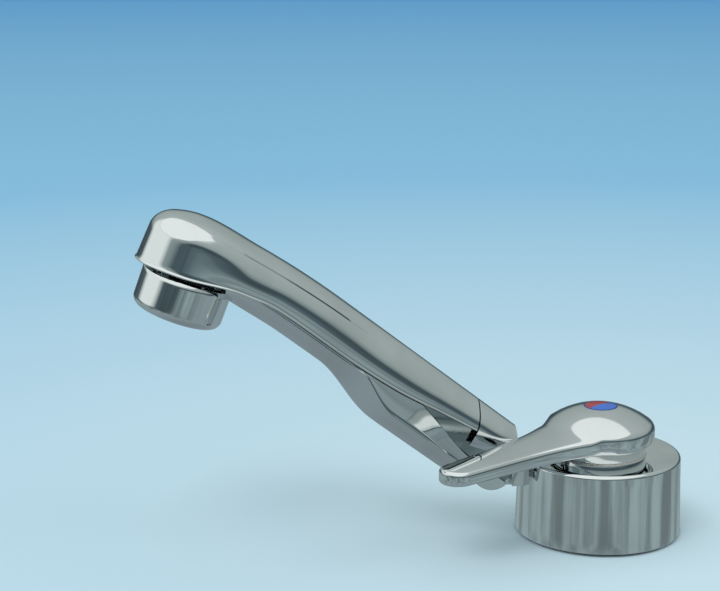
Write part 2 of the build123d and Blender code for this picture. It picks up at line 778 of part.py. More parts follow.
def cover_section(station, crown, shoulder, half=None, tilt=0.0, depth=cover_depth, inset=0.0):
    """Cross-section of the upper cover: crowned top, rounded shoulders and straight sides."""
    droop = max(0.0, station - bend_start) ** 2 / (2 * bend_radius)
    angle = slope + radians(tilt)
    plane = Plane(origin=slope_point(station, top_line - droop), x_dir=(1, 0, 0),
                  z_dir=(0, -cos(angle), sin(angle)))
    wide = (half or half_width(station)) - inset
    edge = wide - shoulder
    knee = knee_share * shoulder
    top = -crown - inset
    with BuildSketch(plane) as section:
        with BuildLine():
            ThreePointArc((-edge, top), (0, -inset), (edge, top))
            ThreePointArc((edge, top), (wide - knee, top - knee), (wide, top - shoulder))
            Polyline((wide, top - shoulder), (wide, -depth), (-wide, -depth), (-wide, top - shoulder))
            ThreePointArc((-wide, top - shoulder), (-wide + knee, top - knee), (-edge, top))
        make_face()
    return section.sketch.face()


with BuildPart() as bracket_hood:
    loft([cover_section(*section) for section in hood_sections])
    # Side outline: nose by the lever, seam to the spout and seat on the bracket
    with BuildSketch(spout_plane.offset(-4 * cut_over)):
        with BuildLine():
            seam = [to_side(u - seam_gap / 2, n) for u, n in seam_line]
            ThreePointArc(*seam)
            over_hood = seam[0][1] + cut_over
            Polyline(seam[2], (hood_nose, hood_seat), (hood_nose, over_hood), (seam[0][0], over_hood), seam[0])
        make_face()
    extrude(amount=8 * cut_over, mode=Mode.INTERSECT)
bracket_hood.part.label = "bracket_hood"
export_step(bracket_hood.part, "parts/bracket_hood.step")

# Hinge of the spout

with BuildPart() as hinge_spindle:
    with BuildSketch(spout_plane):
        with Locations(pin_centre):
            Circle(hinge_pin_radius)
    extrude(amount=hinge_pin_half, both=True)
    chamfer(hinge_spindle.edges().filter_by(GeomType.CIRCLE), hinge_pin_chamfer)
    with BuildSketch(spout_plane):
        with Locations(pin_centre):
            Circle(hinge_pin_bore)
    extrude(amount=fork_outer, both=True, mode=Mode.SUBTRACT)
    with BuildSketch(Plane(origin=(0, -hinge_reach, hinge_height), x_dir=(1, 0, 0),
                           z_dir=(0, cos(duct_tilt), -sin(duct_tilt)))):
        Circle(hinge_pin_bore - running_gap)
    extrude(amount=hinge_pin_radius, mode=Mode.SUBTRACT)
hinge_spindle.part.label = "hinge_spindle"
export_step(hinge_spindle.part, "parts/hinge_spindle.step")

washer_low_radius = hinge_seal_radius + running_gap
with BuildPart() as hinge_washers:
    for side in (1, -1):
        with BuildSketch(spout_plane.offset(side * knuckle_half)):
            with Locations(pin_centre):
                Circle(hinge_washer_radius)
                Circle(washer_low_radius, mode=Mode.SUBTRACT)
        extrude(amount=side * (washer_gap - washer_play))
hinge_washers.part.label = "hinge_washers"
export_step(hinge_washers.part, "parts/hinge_washers.step")

with BuildPart() as hinge_seals:
    for side in (1, -1):
        with BuildSketch(spout_plane.offset(side * knuckle_half)):
            with Locations(pin_centre):
                Circle(hinge_seal_radius)
                Circle(hinge_pin_radius, mode=Mode.SUBTRACT)
        extrude(amount=side * (washer_gap - washer_play))
hinge_seals.part.label = "hinge_seals"
export_step(hinge_seals.part, "parts/hinge_seals.step")

# Spout frame between the covers

fork_inner = knuckle_half + washer_gap
fork_barrel = barrel_radius - fork_inset
duct_side = (fork_inner + fork_outer) / 2
pin_u = hinge_reach * cos(slope) + hinge_height * sin(slope)
pin_n = hinge_height * cos(slope) - hinge_reach * sin(slope)
with BuildPart() as spout_yoke:
    with BuildSketch(spout_plane):
        with Locations(pin_centre):
            Circle(fork_barrel)
        with BuildLine():
            Polyline(pin_centre, (hinge_reach, hinge_height + fork_barrel),
                     (hinge_reach + fork_rise[0], hinge_height + fork_rise[1]), to_side(manifold, yoke_bottom),
                     to_side(manifold - barrel_radius, yoke_bottom - fork_heel),
                     (hinge_reach + cut_in, hinge_height - fork_barrel + running_gap), close=True)
        make_face()
    extrude(amount=fork_outer, both=True)
    # Body between the covers
    with BuildSketch(slope_plane):
        with BuildLine():
            Polyline((yoke_rear[0][0], yoke_bottom), (yoke_end, yoke_bottom), (yoke_end, yoke_top), *yoke_rear[::-1],
                     close=True)
        make_face()
    extrude(amount=yoke_half, both=True)
    # Keel that takes the lower cover's screw
    with BuildSketch(slope_plane):
        with BuildLine():
            Polyline((yoke_keel[0] - keel_rake, yoke_bottom + cut_in), (yoke_end, yoke_bottom + cut_in),
                     (yoke_end - 2 * keel_rake, yoke_keel[1]), yoke_keel, close=True)
        make_face()
    extrude(amount=keel_half, both=True)
    # Slot for the bracket's knuckle, pin bore and the round run-in behind the knuckle
    with BuildSketch(spout_plane.offset(-fork_inner)):
        with Locations(pin_centre):
            Circle(barrel_clear + washer_gap)
        with BuildLine():
            reach = barrel_clear + cut_over
            Polyline((hinge_reach, hinge_height + reach), (hinge_reach - reach, hinge_height + reach),
                     (hinge_reach - reach, hinge_height - reach), (hinge_reach, hinge_height - reach), close=True)
        make_face()
    extrude(amount=2 * fork_inner, mode=Mode.SUBTRACT)
    with BuildSketch(spout_plane.offset(-yoke_half)):
        with Locations(pin_centre):
            Circle(hinge_pin_radius + hinge_play)
    extrude(amount=2 * yoke_half, mode=Mode.SUBTRACT)
    # Ducts from the pin through both cheeks to a cross hole, and the tube's socket
    drill(duct_side, pin_n, yoke_duct, pin_u, manifold)
    drill(-duct_side, pin_n, yoke_duct, pin_u, manifold)
    with BuildSketch(slope_plane.offset(-duct_side)):
        with Locations((manifold, pin_n)):
            Circle(tube_bore)
    extrude(amount=2 * duct_side, mode=Mode.SUBTRACT)
    screw_hole(cover_screw_radius, cover_screw_sink, cover_screw_head_height + cover_screw_length)
    drill(0, tube_line, tube_bore, manifold, tube_start)
    drill(0, tube_line, tube_radius + film_gap, tube_start - tube_overlap, yoke_end + cut_in)
spout_yoke.part.label = "spout_yoke"
export_step(spout_yoke.part, "parts/spout_yoke.step")

with BuildPart() as spout_tube:
    with BuildSketch(Plane(origin=slope_point(tube_start - tube_overlap + body_gap, tube_line), x_dir=(1, 0, 0),
                           z_dir=(0, -cos(slope), sin(slope)))):
        Circle(tube_radius)
        Circle(tube_bore, mode=Mode.SUBTRACT)
    extrude(amount=tube_end - tube_start + tube_overlap)
spout_tube.part.label = "spout_tube"
export_step(spout_tube.part, "parts/spout_tube.step")

# Covers of the spout

tilt = radians(nozzle_tilt)
nozzle_up = Vector(0, sin(tilt), cos(tilt))
nozzle_out = Vector(0, -cos(tilt), sin(tilt))
rim_centre = slope_point(tip_station - rim_setback, rim_drop)
head_centre = rim_centre + nozzle_out * head_offset
nozzle_plane = Plane(origin=rim_centre, x_dir=nozzle_out, z_dir=(-1, 0, 0))
head_plane = Plane(origin=head_centre, x_dir=nozzle_out, z_dir=(-1, 0, 0))
head_axis = Axis(head_centre, nozzle_up)
nozzle_axis = Axis(rim_centre, nozzle_up)


def head_profile(inset=0.0, low=0.0):
    """Half profile of the spout's head for turning, inset by a wall's thickness."""
    crown_x, crown_drop = head_crown
    side_x, side_drop = head_shoulder
    top = head_height - inset
    edge = head_edge if low == 0.0 else 0.0
    with BuildSketch(head_plane) as half:
        with BuildLine():
            ThreePointArc((0, top), (crown_x / 2, top - crown_drop / 4), (crown_x, top - crown_drop))
            ThreePointArc((crown_x, top - crown_drop),
                          (side_x - inset - knee_share * (side_x - crown_x), top - crown_drop - head_knee_drop),
                          (side_x - inset, head_height - side_drop))
            Line((side_x - inset, head_height - side_drop), (head_radius - inset, low + edge))
            if edge:
                knee = knee_share * edge
                ThreePointArc((head_radius - inset, low + edge), (head_radius - inset - knee, low + knee),
                              (head_radius - inset - edge, low))
            Polyline((head_radius - inset - edge, low), (0, low), (0, top))
        make_face()
    return half.sketch.face()


def droop_tilt(station):
    """How far the top line has tipped forward at a station, in degrees."""
    return -degrees(max(0.0, station - bend_start) / bend_radius)


def arm_sections(inset=0.0, depth=cover_depth):
    """Sections of the arm from root to tip."""
    return [cover_section(*section, tilt=droop_tilt(section[0]), inset=inset, depth=depth)
            for section in cover_sections]


with BuildPart() as spout_head:
    revolve(head_profile(), axis=head_axis)
    revolve(head_profile(cover_wall, -cut_in), axis=head_axis, mode=Mode.SUBTRACT)
    loft(arm_sections(cover_wall, cover_depth + cut_in), mode=Mode.SUBTRACT)

with BuildPart() as upper_cover:
    head_section_plane = Plane(origin=head_centre + nozzle_up * head_height, x_dir=(1, 0, 0), z_dir=nozzle_out)
    with BuildSketch(head_section_plane) as head_section:
        with BuildLine():
            crown_x, crown_drop = head_crown[0], head_crown[1] + head_bury
            side_x, side_drop = head_shoulder[0] - head_bury, head_shoulder[1]
            foot_x, foot_drop = head_radius - head_bury, head_height - head_edge
            knee_x, knee_drop = side_x - knee_share * (side_x - crown_x), crown_drop + head_knee_drop
            ThreePointArc((-crown_x, -crown_drop), (0, -head_bury), (crown_x, -crown_drop))
            ThreePointArc((crown_x, -crown_drop), (knee_x, -knee_drop), (side_x, -side_drop))
            Polyline((side_x, -side_drop), (foot_x, -foot_drop), (-foot_x, -foot_drop), (-side_x, -side_drop))
            ThreePointArc((-side_x, -side_drop), (-knee_x, -knee_drop), (-crown_x, -crown_drop))
        make_face()
    loft(arm_sections() + [head_section.sketch.face()])
    # Seam towards the hood, then the lower edge
    with BuildSketch(slope_plane.offset(-4 * cut_over)):
        with BuildLine():
            seam = [(u + seam_gap / 2, n) for u, n in seam_line]
            ThreePointArc(*seam)
            behind = root_station - cover_depth
            Polyline(seam[2], (seam[2][0], -cover_depth), (behind, -cover_depth), (behind, cover_depth),
                     (seam[0][0], cover_depth), seam[0])
        make_face()
    extrude(amount=8 * cut_over, mode=Mode.SUBTRACT)
    with BuildSketch(slope_plane.offset(-4 * cut_over)):
        with BuildLine():
            Spline(*parting_line)
            Polyline(parting_line[-1], (parting_line[-1][0] + 2 * cut_over, -2 * cover_depth),
                     (parting_line[0][0], -2 * cover_depth), parting_line[0])
        make_face()
    extrude(amount=8 * cut_over, mode=Mode.SUBTRACT)
    # Hollow, then the head, which opens downwards to the nozzle
    loft(arm_sections(cover_wall, cover_depth + cut_in), mode=Mode.SUBTRACT)
    revolve(head_profile(cover_wall, -cut_in), axis=head_axis, mode=Mode.SUBTRACT)
    add(spout_head.part)
upper_cover.part.label = "upper_cover"
export_step(upper_cover.part, "parts/upper_cover.step")


def lower_section(station, inset=0.0):
    """Cross-section of the lower cover: straight cheeks and flanks that slant in to a narrow keel."""
    crease = crease_low + (crease_high - crease_low) * step_up(station, crease_step)
    wide = half_width(station) - lower_inset - inset
    floor = keel_height(station) + inset
    turn_in = crease + crease_inset * inset
    keel = wide - flank_slant * (turn_in - floor)
    top = lower_top
    with BuildSketch(Plane(origin=slope_point(station, 0), x_dir=(1, 0, 0),
                           z_dir=(0, -cos(slope), sin(slope)))) as section:
        with BuildLine():
            Polyline((wide, top), (wide, turn_in), (keel, floor), (-keel, floor), (-wide, turn_in), (-wide, top),
                     close=True)
        make_face()
    return section.sketch.face()


cheek_inner = fork_outer + cheek_gap
lower_count = round((lower_end - root_station) / lower_pitch)
lower_stations = [root_station + i * (lower_end - root_station) / lower_count for i in range(lower_count + 1)]
with BuildPart() as lower_cover:
    loft([lower_section(station) for station in lower_stations], ruled=True)
    loft([lower_section(station, lower_wall) for station in lower_stations], ruled=True, mode=Mode.SUBTRACT)
    # Cheeks that close round the hinge
    for side in (1, -1):
        with BuildSketch(spout_plane.offset(side * cheek_inner)):
            with Locations(pin_centre):
                Circle(barrel_radius)
            with BuildLine():
                Polyline(pin_centre, *[to_side(pin_u + u, n) for u, n in cheek_line],
                         to_side(pin_u + cheek_back, pin_n - barrel_radius + body_gap), close=True)
            make_face()
            with Locations(pin_centre):
                Circle(hinge_pin_radius + hinge_play, mode=Mode.SUBTRACT)
        extrude(amount=side * (barrel_radius - cheek_inner))
    # Upper edge: parting line to the upper cover, window beside the frame, and the round rear of the head
    with BuildSketch(slope_plane.offset(-4 * cut_over)):
        with BuildLine():
            Spline(*[(u, n - seam_gap) for u, n in parting_line])
            start, end = parting_line[0], parting_line[-1]
            behind = start[0] - cover_depth
            Polyline((end[0], end[1] - seam_gap), (end[0], cover_depth), (behind, cover_depth),
                     (behind, start[1] - seam_gap), (start[0], start[1] - seam_gap))
        make_face()
    extrude(amount=8 * cut_over, mode=Mode.SUBTRACT)
    with BuildSketch(slope_plane.offset(-4 * cut_over)):
        with BuildLine():
            behind, over = root_station - cover_depth, 1.5 * cover_depth
            Polyline((behind, over), (behind, window_line[0][1]), *window_line,
                     (window_line[-1][0] + window_rake, over), close=True)
        make_face()
    extrude(amount=8 * cut_over, mode=Mode.SUBTRACT)
    with BuildSketch(Plane(origin=head_centre - nozzle_up * 2 * head_height, x_dir=(1, 0, 0), z_dir=nozzle_up)):
        Circle(head_radius + body_gap)
    extrude(amount=4 * head_height, mode=Mode.SUBTRACT)
    with BuildSketch(Plane(origin=rim_centre - nozzle_up * 2 * head_height, x_dir=(1, 0, 0), z_dir=nozzle_up)):
        Circle(nozzle_radius + nozzle_gap)
    extrude(amount=2 * head_height, mode=Mode.SUBTRACT)
    screw_hole(cover_screw_radius + running_gap, -cut_over, 2 * cut_over)
    screw_hole(cover_screw_head + running_gap, -cut_over, cut_over + cover_screw_sink + cover_screw_head_height)
    # Mouth that lets the knuckle and the tongue pass as the spout folds
    with BuildSketch(spout_plane.offset(-cheek_inner)):
        with BuildLine():
            behind, before = hinge_reach - cover_depth, hinge_reach + mouth_reach
            Polyline((behind, 0), (before, 0), (before, hinge_height), (hinge_reach + mouth_reach / 2, 3 * cover_depth),
                     (behind, 3 * cover_depth), close=True)
        make_face()
    extrude(amount=2 * cheek_inner, mode=Mode.SUBTRACT)
    with BuildSketch(spout_plane.offset(-hinge_pin_half - cut_over)):
        with Locations(pin_centre):
            Circle(hinge_pin_radius + hinge_play)
    extrude(amount=2 * (hinge_pin_half + cut_over), mode=Mode.SUBTRACT)
lower_cover.part.label = "lower_cover"
export_step(lower_cover.part, "parts/lower_cover.step")

# Outlet in the head

with BuildPart() as outlet_elbow:
    # Round block over the nozzle, with the tube's socket in its rear
    with BuildSketch(nozzle_plane):
        with BuildLine():
            Polyline((0, elbow_foot), (elbow_radius, elbow_foot), (elbow_radius, elbow_height),
                     (elbow_radius - elbow_crown, elbow_height + elbow_crown), (0, elbow_height + elbow_crown),
                     close=True)
        make_face()
    revolve(axis=nozzle_axis)
    with BuildSketch(nozzle_plane):
        with BuildLine():
            Polyline((0, 0), (nozzle_spigot + thread_play, 0), (nozzle_spigot + thread_play, elbow_bore_height),
                     (nozzle_bore, elbow_bore_height), (nozzle_bore, elbow_height), (0, elbow_height), close=True)
        make_face()
    revolve(axis=nozzle_axis, mode=Mode.SUBTRACT)
    drill(0, tube_line, tube_radius + film_gap, tube_start, tube_end + body_gap)
    drill(0, tube_line, tube_bore, tube_end, tube_end + 2 * tube_radius)
outlet_elbow.part.label = "outlet_elbow"
export_step(outlet_elbow.part, "parts/outlet_elbow.step")

nozzle_low = -nozzle_gap - nozzle_length
with BuildPart() as nozzle_housing:
    with BuildSketch(nozzle_plane):
        with BuildLine():
            Polyline((nozzle_bore, nozzle_spigot_height), (nozzle_spigot, nozzle_spigot_height),
                     (nozzle_spigot, 0), (nozzle_neck, 0), (nozzle_neck, -nozzle_gap), (nozzle_radius, -nozzle_gap),
                     (nozzle_foot_radius, nozzle_low), (nozzle_mouth, nozzle_low), (nozzle_mouth, nozzle_seat),
                     (nozzle_bore, nozzle_seat), close=True)
        make_face()
    revolve(axis=nozzle_axis)
    foot = nozzle_housing.edges().filter_by(lambda e: e.geom_type == GeomType.CIRCLE and abs(e.radius - nozzle_foot_radius) < film_gap)
    fillet(foot, nozzle_edge)
nozzle_housing.part.label = "nozzle_housing"
export_step(nozzle_housing.part, "parts/nozzle_housing.step")

with BuildPart() as nozzle_seal:
    with BuildSketch(nozzle_plane):
        with BuildLine():
            seal_low = nozzle_seat - nozzle_seal_height
            Polyline((nozzle_bore, seal_low), (nozzle_mouth - running_gap, seal_low),
                     (nozzle_mouth - running_gap, nozzle_seat), (nozzle_bore, nozzle_seat), close=True)
        make_face()
    revolve(axis=nozzle_axis)
nozzle_seal.part.label = "nozzle_seal"
export_step(nozzle_seal.part, "parts/nozzle_seal.step")

aerator_top = nozzle_seat - nozzle_seal_height
aerator_low = nozzle_low + aerator_recess
with BuildPart() as aerator_insert:
    # Cup with a floor of drilled holes and a cross that carries the mesh
    with BuildSketch(nozzle_plane):
        with BuildLine():
            cup_bore = aerator_radius - aerator_wall
            cup_floor = aerator_top - aerator_floor
            Polyline((0, aerator_top), (aerator_radius, aerator_top), (aerator_radius, aerator_low),
                     (cup_bore, aerator_low), (cup_bore, cup_floor), (0, cup_floor), close=True)
        make_face()
    revolve(axis=nozzle_axis)
    with BuildSketch(Plane(origin=rim_centre + nozzle_up * (cup_floor - cut_in), x_dir=(1, 0, 0), z_dir=nozzle_up)):
        with PolarLocations(aerator_hole_circle, aerator_hole_count):
            Circle(aerator_hole)
    extrude(amount=aerator_floor + 2 * cut_in, mode=Mode.SUBTRACT)
    cross_low = aerator_low + mesh_lift + mesh_thickness
    with BuildSketch(Plane(origin=rim_centre + nozzle_up * cross_low, x_dir=(1, 0, 0), z_dir=nozzle_up)):
        Rectangle(2 * cup_bore + aerator_wall, cross_width)
        Rectangle(cross_width, 2 * cup_bore + aerator_wall)
        Circle(cross_hub)
    extrude(amount=cross_height)
aerator_insert.part.label = "aerator_insert"
export_step(aerator_insert.part, "parts/aerator_insert.step")

with BuildPart() as aerator_mesh:
    mesh_radius = cup_bore - film_gap
    with BuildSketch(Plane(origin=rim_centre + nozzle_up * (aerator_low + mesh_lift), x_dir=(1, 0, 0), z_dir=nozzle_up)):
        Circle(mesh_radius)
        with GridLocations(mesh_pitch, mesh_pitch, mesh_count, mesh_count):
            Rectangle(mesh_opening, mesh_opening, mode=Mode.SUBTRACT)
        Circle(mesh_radius)
        Circle(mesh_radius - mesh_rim, mode=Mode.SUBTRACT)
    extrude(amount=mesh_thickness)
aerator_mesh.part.label = "aerator_mesh"
export_step(aerator_mesh.part, "parts/aerator_mesh.step")

with BuildPart() as cover_screw:
    head_low = keel_height(cover_screw_station) + cover_screw_sink
    up_slope = (0, sin(slope), cos(slope))
    with BuildSketch(Plane(origin=slope_point(cover_screw_station, head_low), x_dir=(1, 0, 0), z_dir=up_slope)):
        Circle(cover_screw_head)
    extrude(amount=cover_screw_head_height)
    with BuildSketch(Plane(origin=slope_point(cover_screw_station, head_low), x_dir=(1, 0, 0), z_dir=up_slope)):
        Circle(cover_screw_radius)
    extrude(amount=cover_screw_head_height + cover_screw_length)
    with BuildSketch(Plane(origin=slope_point(cover_screw_station, head_low), x_dir=(1, 0, 0), z_dir=up_slope)):
        Rectangle(cross_slot[0], cross_slot[1])
        Rectangle(cross_slot[1], cross_slot[0])
    extrude(amount=cross_slot_depth, mode=Mode.SUBTRACT)
cover_screw.part.label = "cover_screw"
export_step(cover_screw.part, "parts/cover_screw.step")

# Lever

with BuildPart() as lever_arm:
    # Plan outline, cut to the side outline
    tip_centre = arm_reach - arm_tip_radius
    tip_slant = radians(arm_tip_slant)
    tip_x = tip_centre + arm_tip_radius * cos(tip_slant)
    tip_y = arm_tip_radius * sin(tip_slant)
    with BuildSketch(lever_top_plane.offset(arm_tip_bottom - cut_in)):
        with BuildLine():
            for side in (1, -1):
                waist = [(x, side * y) for x, y in arm_waist]
                Spline((arm_root[0], side * arm_root[1]), *waist, (tip_x, side * tip_y),
                       tangents=((1, -side * 0.95), (1, -side * 0.06)))
            ThreePointArc((tip_x, tip_y), (arm_reach, 0), (tip_x, -tip_y))
            Line(arm_root, (arm_root[0], -arm_root[1]))
        make_face()
    extrude(amount=head_r)
    with BuildSketch(lever_plane.offset(-head_r)):
        with BuildLine():
            end = (arm_reach + cut_in, arm_tip_top - 0.1)
            Spline(*arm_top_line, end)
            Polyline(end, (end[0], arm_tip_bottom), (arm_throat, skirt_bottom), (arm_top_line[0][0], skirt_bottom),
                     arm_top_line[0])
        make_face()
    extrude(amount=2 * head_r, mode=Mode.INTERSECT)
    # Round the upper edges, apart from the one inside the head
    crown = lever_arm.faces().sort_by(Axis.Z)[-1]
    inner_end = Vector(*along_lever) * arm_root[0]
    fillet(crown.edges().filter_by(lambda e: (e.center() - inner_end).dot(Vector(*along_lever)) > 1), arm_edge)

dome_rise = dome_top - head_side_top
dome_radius = (head_r**2 + dome_rise**2) / (2 * dome_rise)
dome_centre = dome_top - dome_radius
inner_radius = dome_radius - head_crust
inner_wall = head_r - lever_wall
boss_roof = dome_top - index_depth - lever_screw_head_height
index_seat = dome_top - index_depth - index_sink
with BuildPart() as lever_handle:
    with BuildSketch(lever_plane):
        with BuildLine():
            half_way = head_r / 2
            Polyline((0, dome_top), (0, skirt_bottom), (head_r, skirt_bottom), (head_r, head_side_top))
            ThreePointArc((head_r, head_side_top), (half_way, dome_centre + sqrt(dome_radius**2 - half_way**2)),
                          (0, dome_top))
        make_face()
    revolve()
    add(lever_arm.part)
    # Hollow under the dome, clear of the neck cap, with the boss for the spindle
    with BuildSketch(lever_plane):
        with BuildLine():
            wall_top = dome_centre + sqrt(inner_radius**2 - inner_wall**2)
            half_way = inner_wall / 2
            below = skirt_bottom - cut_over
            Polyline((0, dome_centre + inner_radius), (0, below), (inner_wall, below), (inner_wall, wall_top))
            ThreePointArc((inner_wall, wall_top), (half_way, dome_centre + sqrt(inner_radius**2 - half_way**2)),
                          (0, dome_centre + inner_radius))
        make_face()
    revolve(mode=Mode.SUBTRACT)
    with BuildSketch(lever_top_plane.offset(boss_bottom)):
        Circle(boss_radius)
    extrude(amount=dome_top - head_crust - boss_bottom)
    # The rear of the skirt is cut back so that the lever can tip
    with BuildSketch(lever_plane.offset(-head_r - cut_in)):
        with BuildLine():
            behind = -head_r - cut_in
            Polyline((2 * cut_in, skirt_bottom), (behind, skirt_bottom + skirt_relief), (behind, skirt_bottom - cut_in),
                     (2 * cut_in, skirt_bottom - cut_in), close=True)
        make_face()
    extrude(amount=2 * (head_r + cut_in), mode=Mode.SUBTRACT)
    # Square socket, screw hole, counterbore and the index's seat
    with BuildSketch(lever_top_plane.offset(boss_bottom)):
        Rectangle(spindle_head + film_gap, spindle_head + film_gap)
    extrude(amount=spindle_top + running_gap - boss_bottom, mode=Mode.SUBTRACT)
    for radius, low in ((lever_screw_radius + running_gap, spindle_top), (lever_screw_head + running_gap, boss_roof),
                        (index_radius + film_gap, index_seat)):
        with BuildSketch(Plane.XY.offset(low)):
            Circle(radius)
        extrude(amount=dome_top - low + cut_in, mode=Mode.SUBTRACT)
lever_handle.part.label = "lever_handle"
export_step(lever_handle.part, "parts/lever_handle.step")

with BuildPart() as lever_spindle:
    ball_height = pivot_height - spindle_arm
    bar_low = ball_height + spindle_ball - film_gap
    # The square head starts high enough to clear the carrier when the lever is lifted
    tip = radians(lift_travel)
    head_low = pivot_height + (carrier_top + body_gap - pivot_height + spindle_head / 2 * sin(tip)) / cos(tip)
    with BuildSketch(lever_plane):
        with Locations((0, ball_height)):
            Circle(spindle_ball)
            Rectangle(2 * spindle_ball, 2 * spindle_ball, align=(Align.MAX, Align.CENTER), mode=Mode.SUBTRACT)
    revolve()
    with BuildSketch(lever_top_plane.offset(ball_height)):
        Circle(spindle_neck)
    extrude(amount=spindle_ball + spindle_neck / 2)
    with BuildSketch(lever_top_plane.offset(bar_low)):
        Rectangle(spindle_depth, spindle_width)
    extrude(amount=head_low - bar_low)
    with BuildSketch(lever_top_plane.offset(head_low)):
        Rectangle(spindle_head, spindle_head)
    extrude(amount=spindle_top - head_low)
    with BuildSketch(lever_plane):
        with Locations((0, pivot_height)):
            Circle(pivot_pin_radius + film_gap)
    extrude(amount=spindle_width, both=True, mode=Mode.SUBTRACT)
    with BuildSketch(Plane.XY.offset(spindle_top)):
        Circle(lever_screw_radius)
    extrude(amount=-lever_screw_length, mode=Mode.SUBTRACT)
lever_spindle.part.label = "lever_spindle"
export_step(lever_spindle.part, "parts/lever_spindle.step")

with BuildPart() as lever_screw:
    screw_low = spindle_top - lever_screw_length + lever_screw_gap
    with BuildSketch(Plane.XY.offset(screw_low)):
        Circle(lever_screw_radius)
    extrude(amount=boss_roof - screw_low)
    with BuildSketch(Plane.XY.offset(boss_roof)):
        Circle(lever_screw_head)
    extrude(amount=lever_screw_head_height - 2 * lever_screw_gap)
    with BuildSketch(Plane.XY.offset(boss_roof + lever_screw_gap)):
        RegularPolygon(lever_socket, 6)
    extrude(amount=lever_screw_head_height, mode=Mode.SUBTRACT)
lever_screw.part.label = "lever_screw"
export_step(lever_screw.part, "parts/lever_screw.step")

inlay_low = dome_top - index_inlay_depth
with BuildPart() as dome_ball:
    with Locations((0, 0, dome_centre)):
        Sphere(dome_radius)

with BuildPart() as index_cap:
    with BuildSketch(Plane.XY.offset(index_seat)):
        Circle(index_radius)
    extrude(amount=cut_over)
    add(dome_ball.part, mode=Mode.INTERSECT)
    with BuildSketch(Plane.XY.offset(inlay_low)):
        Circle(index_inlay_radius)
    extrude(amount=cut_over, mode=Mode.SUBTRACT)
index_cap.part.label = "index_cap"
export_step(index_cap.part, "parts/index_cap.step")

for name, side in (("index_hot", Align.MAX), ("index_cold", Align.MIN)):
    with BuildPart() as inlay:
        with BuildSketch(lever_top_plane.offset(inlay_low)):
            Circle(index_inlay_radius)
            Rectangle(3 * index_radius, 3 * index_radius, align=(Align.CENTER, side), mode=Mode.INTERSECT)
        extrude(amount=cut_over)
        add(dome_ball.part, mode=Mode.INTERSECT)
    inlay.part.label = name
    export_step(inlay.part, f"parts/{name}.step")
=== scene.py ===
import json
import math
import bmesh
import bpy
from mathutils import Matrix, Vector


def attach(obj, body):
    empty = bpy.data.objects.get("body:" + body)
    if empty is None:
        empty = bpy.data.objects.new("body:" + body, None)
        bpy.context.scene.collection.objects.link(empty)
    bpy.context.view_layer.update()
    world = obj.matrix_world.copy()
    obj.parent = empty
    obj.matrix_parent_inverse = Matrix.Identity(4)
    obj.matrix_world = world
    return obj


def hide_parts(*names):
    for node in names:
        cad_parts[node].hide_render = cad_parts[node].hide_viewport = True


# Chromed single-lever tap with a fold-down spout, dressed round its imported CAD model
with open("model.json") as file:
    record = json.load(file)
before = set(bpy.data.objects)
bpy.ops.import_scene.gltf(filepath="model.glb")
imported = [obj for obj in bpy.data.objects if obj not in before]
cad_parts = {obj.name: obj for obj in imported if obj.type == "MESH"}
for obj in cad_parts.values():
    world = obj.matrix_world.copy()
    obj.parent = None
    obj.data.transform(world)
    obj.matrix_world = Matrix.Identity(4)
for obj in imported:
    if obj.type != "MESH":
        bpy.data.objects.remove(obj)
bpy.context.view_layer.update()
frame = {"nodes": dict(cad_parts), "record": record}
nodes = frame["nodes"]
slotOf = {row["node"]: row["material_slot"] for row in frame["record"]["subparts"]}
bodyOf = {n: body for body, members in frame["record"]["behaviour"]["bodies"].items() for n in members}
mm = 0.001            # the pieces' settings are in millimetres and degrees; floor, lamps and camera are in metres
# Distances at which points are joined: in metres for the CAD meshes, in millimetres for the shapes made here
cleanSet = {"merge": 0.000002, "thin": 0.000001, "leverMerge": 0.004, "skinMerge": 0.01, "turnedMerge": 0.001}


# Shader helpers
def newMaterial(name, color, metallic=0.0, roughness=0.5):
    material = bpy.data.materials.new(name)
    material.use_nodes = True
    shader = material.node_tree.nodes["Principled BSDF"]
    shader.inputs["Base Color"].default_value = (*color, 1)
    shader.inputs["Metallic"].default_value = metallic
    shader.inputs["Roughness"].default_value = roughness
    return material, material.node_tree, shader


def mathNode(tree, operation, a, b=None, clamp=False):
    node = tree.nodes.new("ShaderNodeMath")
    node.operation = operation
    node.use_clamp = clamp
    for socket, value in zip(node.inputs, (a, b)):
        if value is None:
            continue
        if isinstance(value, (int, float)):
            socket.default_value = value
        else:
            tree.links.new(value, socket)
    return node.outputs[0]


def noiseNode(tree, vector, scale, detail=3.0, roughness=0.55):
    node = tree.nodes.new("ShaderNodeTexNoise")
    node.inputs["Scale"].default_value = scale
    node.inputs["Detail"].default_value = detail
    node.inputs["Roughness"].default_value = roughness
    tree.links.new(vector, node.inputs["Vector"])
    return node.outputs["Fac"]


def rangeNode(tree, value, fromLow, fromHigh, toLow, toHigh):
    node = tree.nodes.new("ShaderNodeMapRange")
    node.clamp = True
    tree.links.new(value, node.inputs["Value"])
    for label, number in (("From Min", fromLow), ("From Max", fromHigh), ("To Min", toLow), ("To Max", toHigh)):
        if isinstance(number, (int, float)):
            node.inputs[label].default_value = number
        else:
            tree.links.new(number, node.inputs[label])
    return node.outputs["Result"]


def mixColor(tree, share, low, high):
    node = tree.nodes.new("ShaderNodeMix")
    node.data_type = "RGBA"
    colorA, colorB, colorOut = node.inputs[6], node.inputs[7], node.outputs[2]      # the node's RGBA sockets
    for socket, value in ((node.inputs["Factor"], share), (colorA, low), (colorB, high)):
        if isinstance(value, tuple):
            socket.default_value = (*value, 1)
        else:
            tree.links.new(value, socket)
    return colorOut


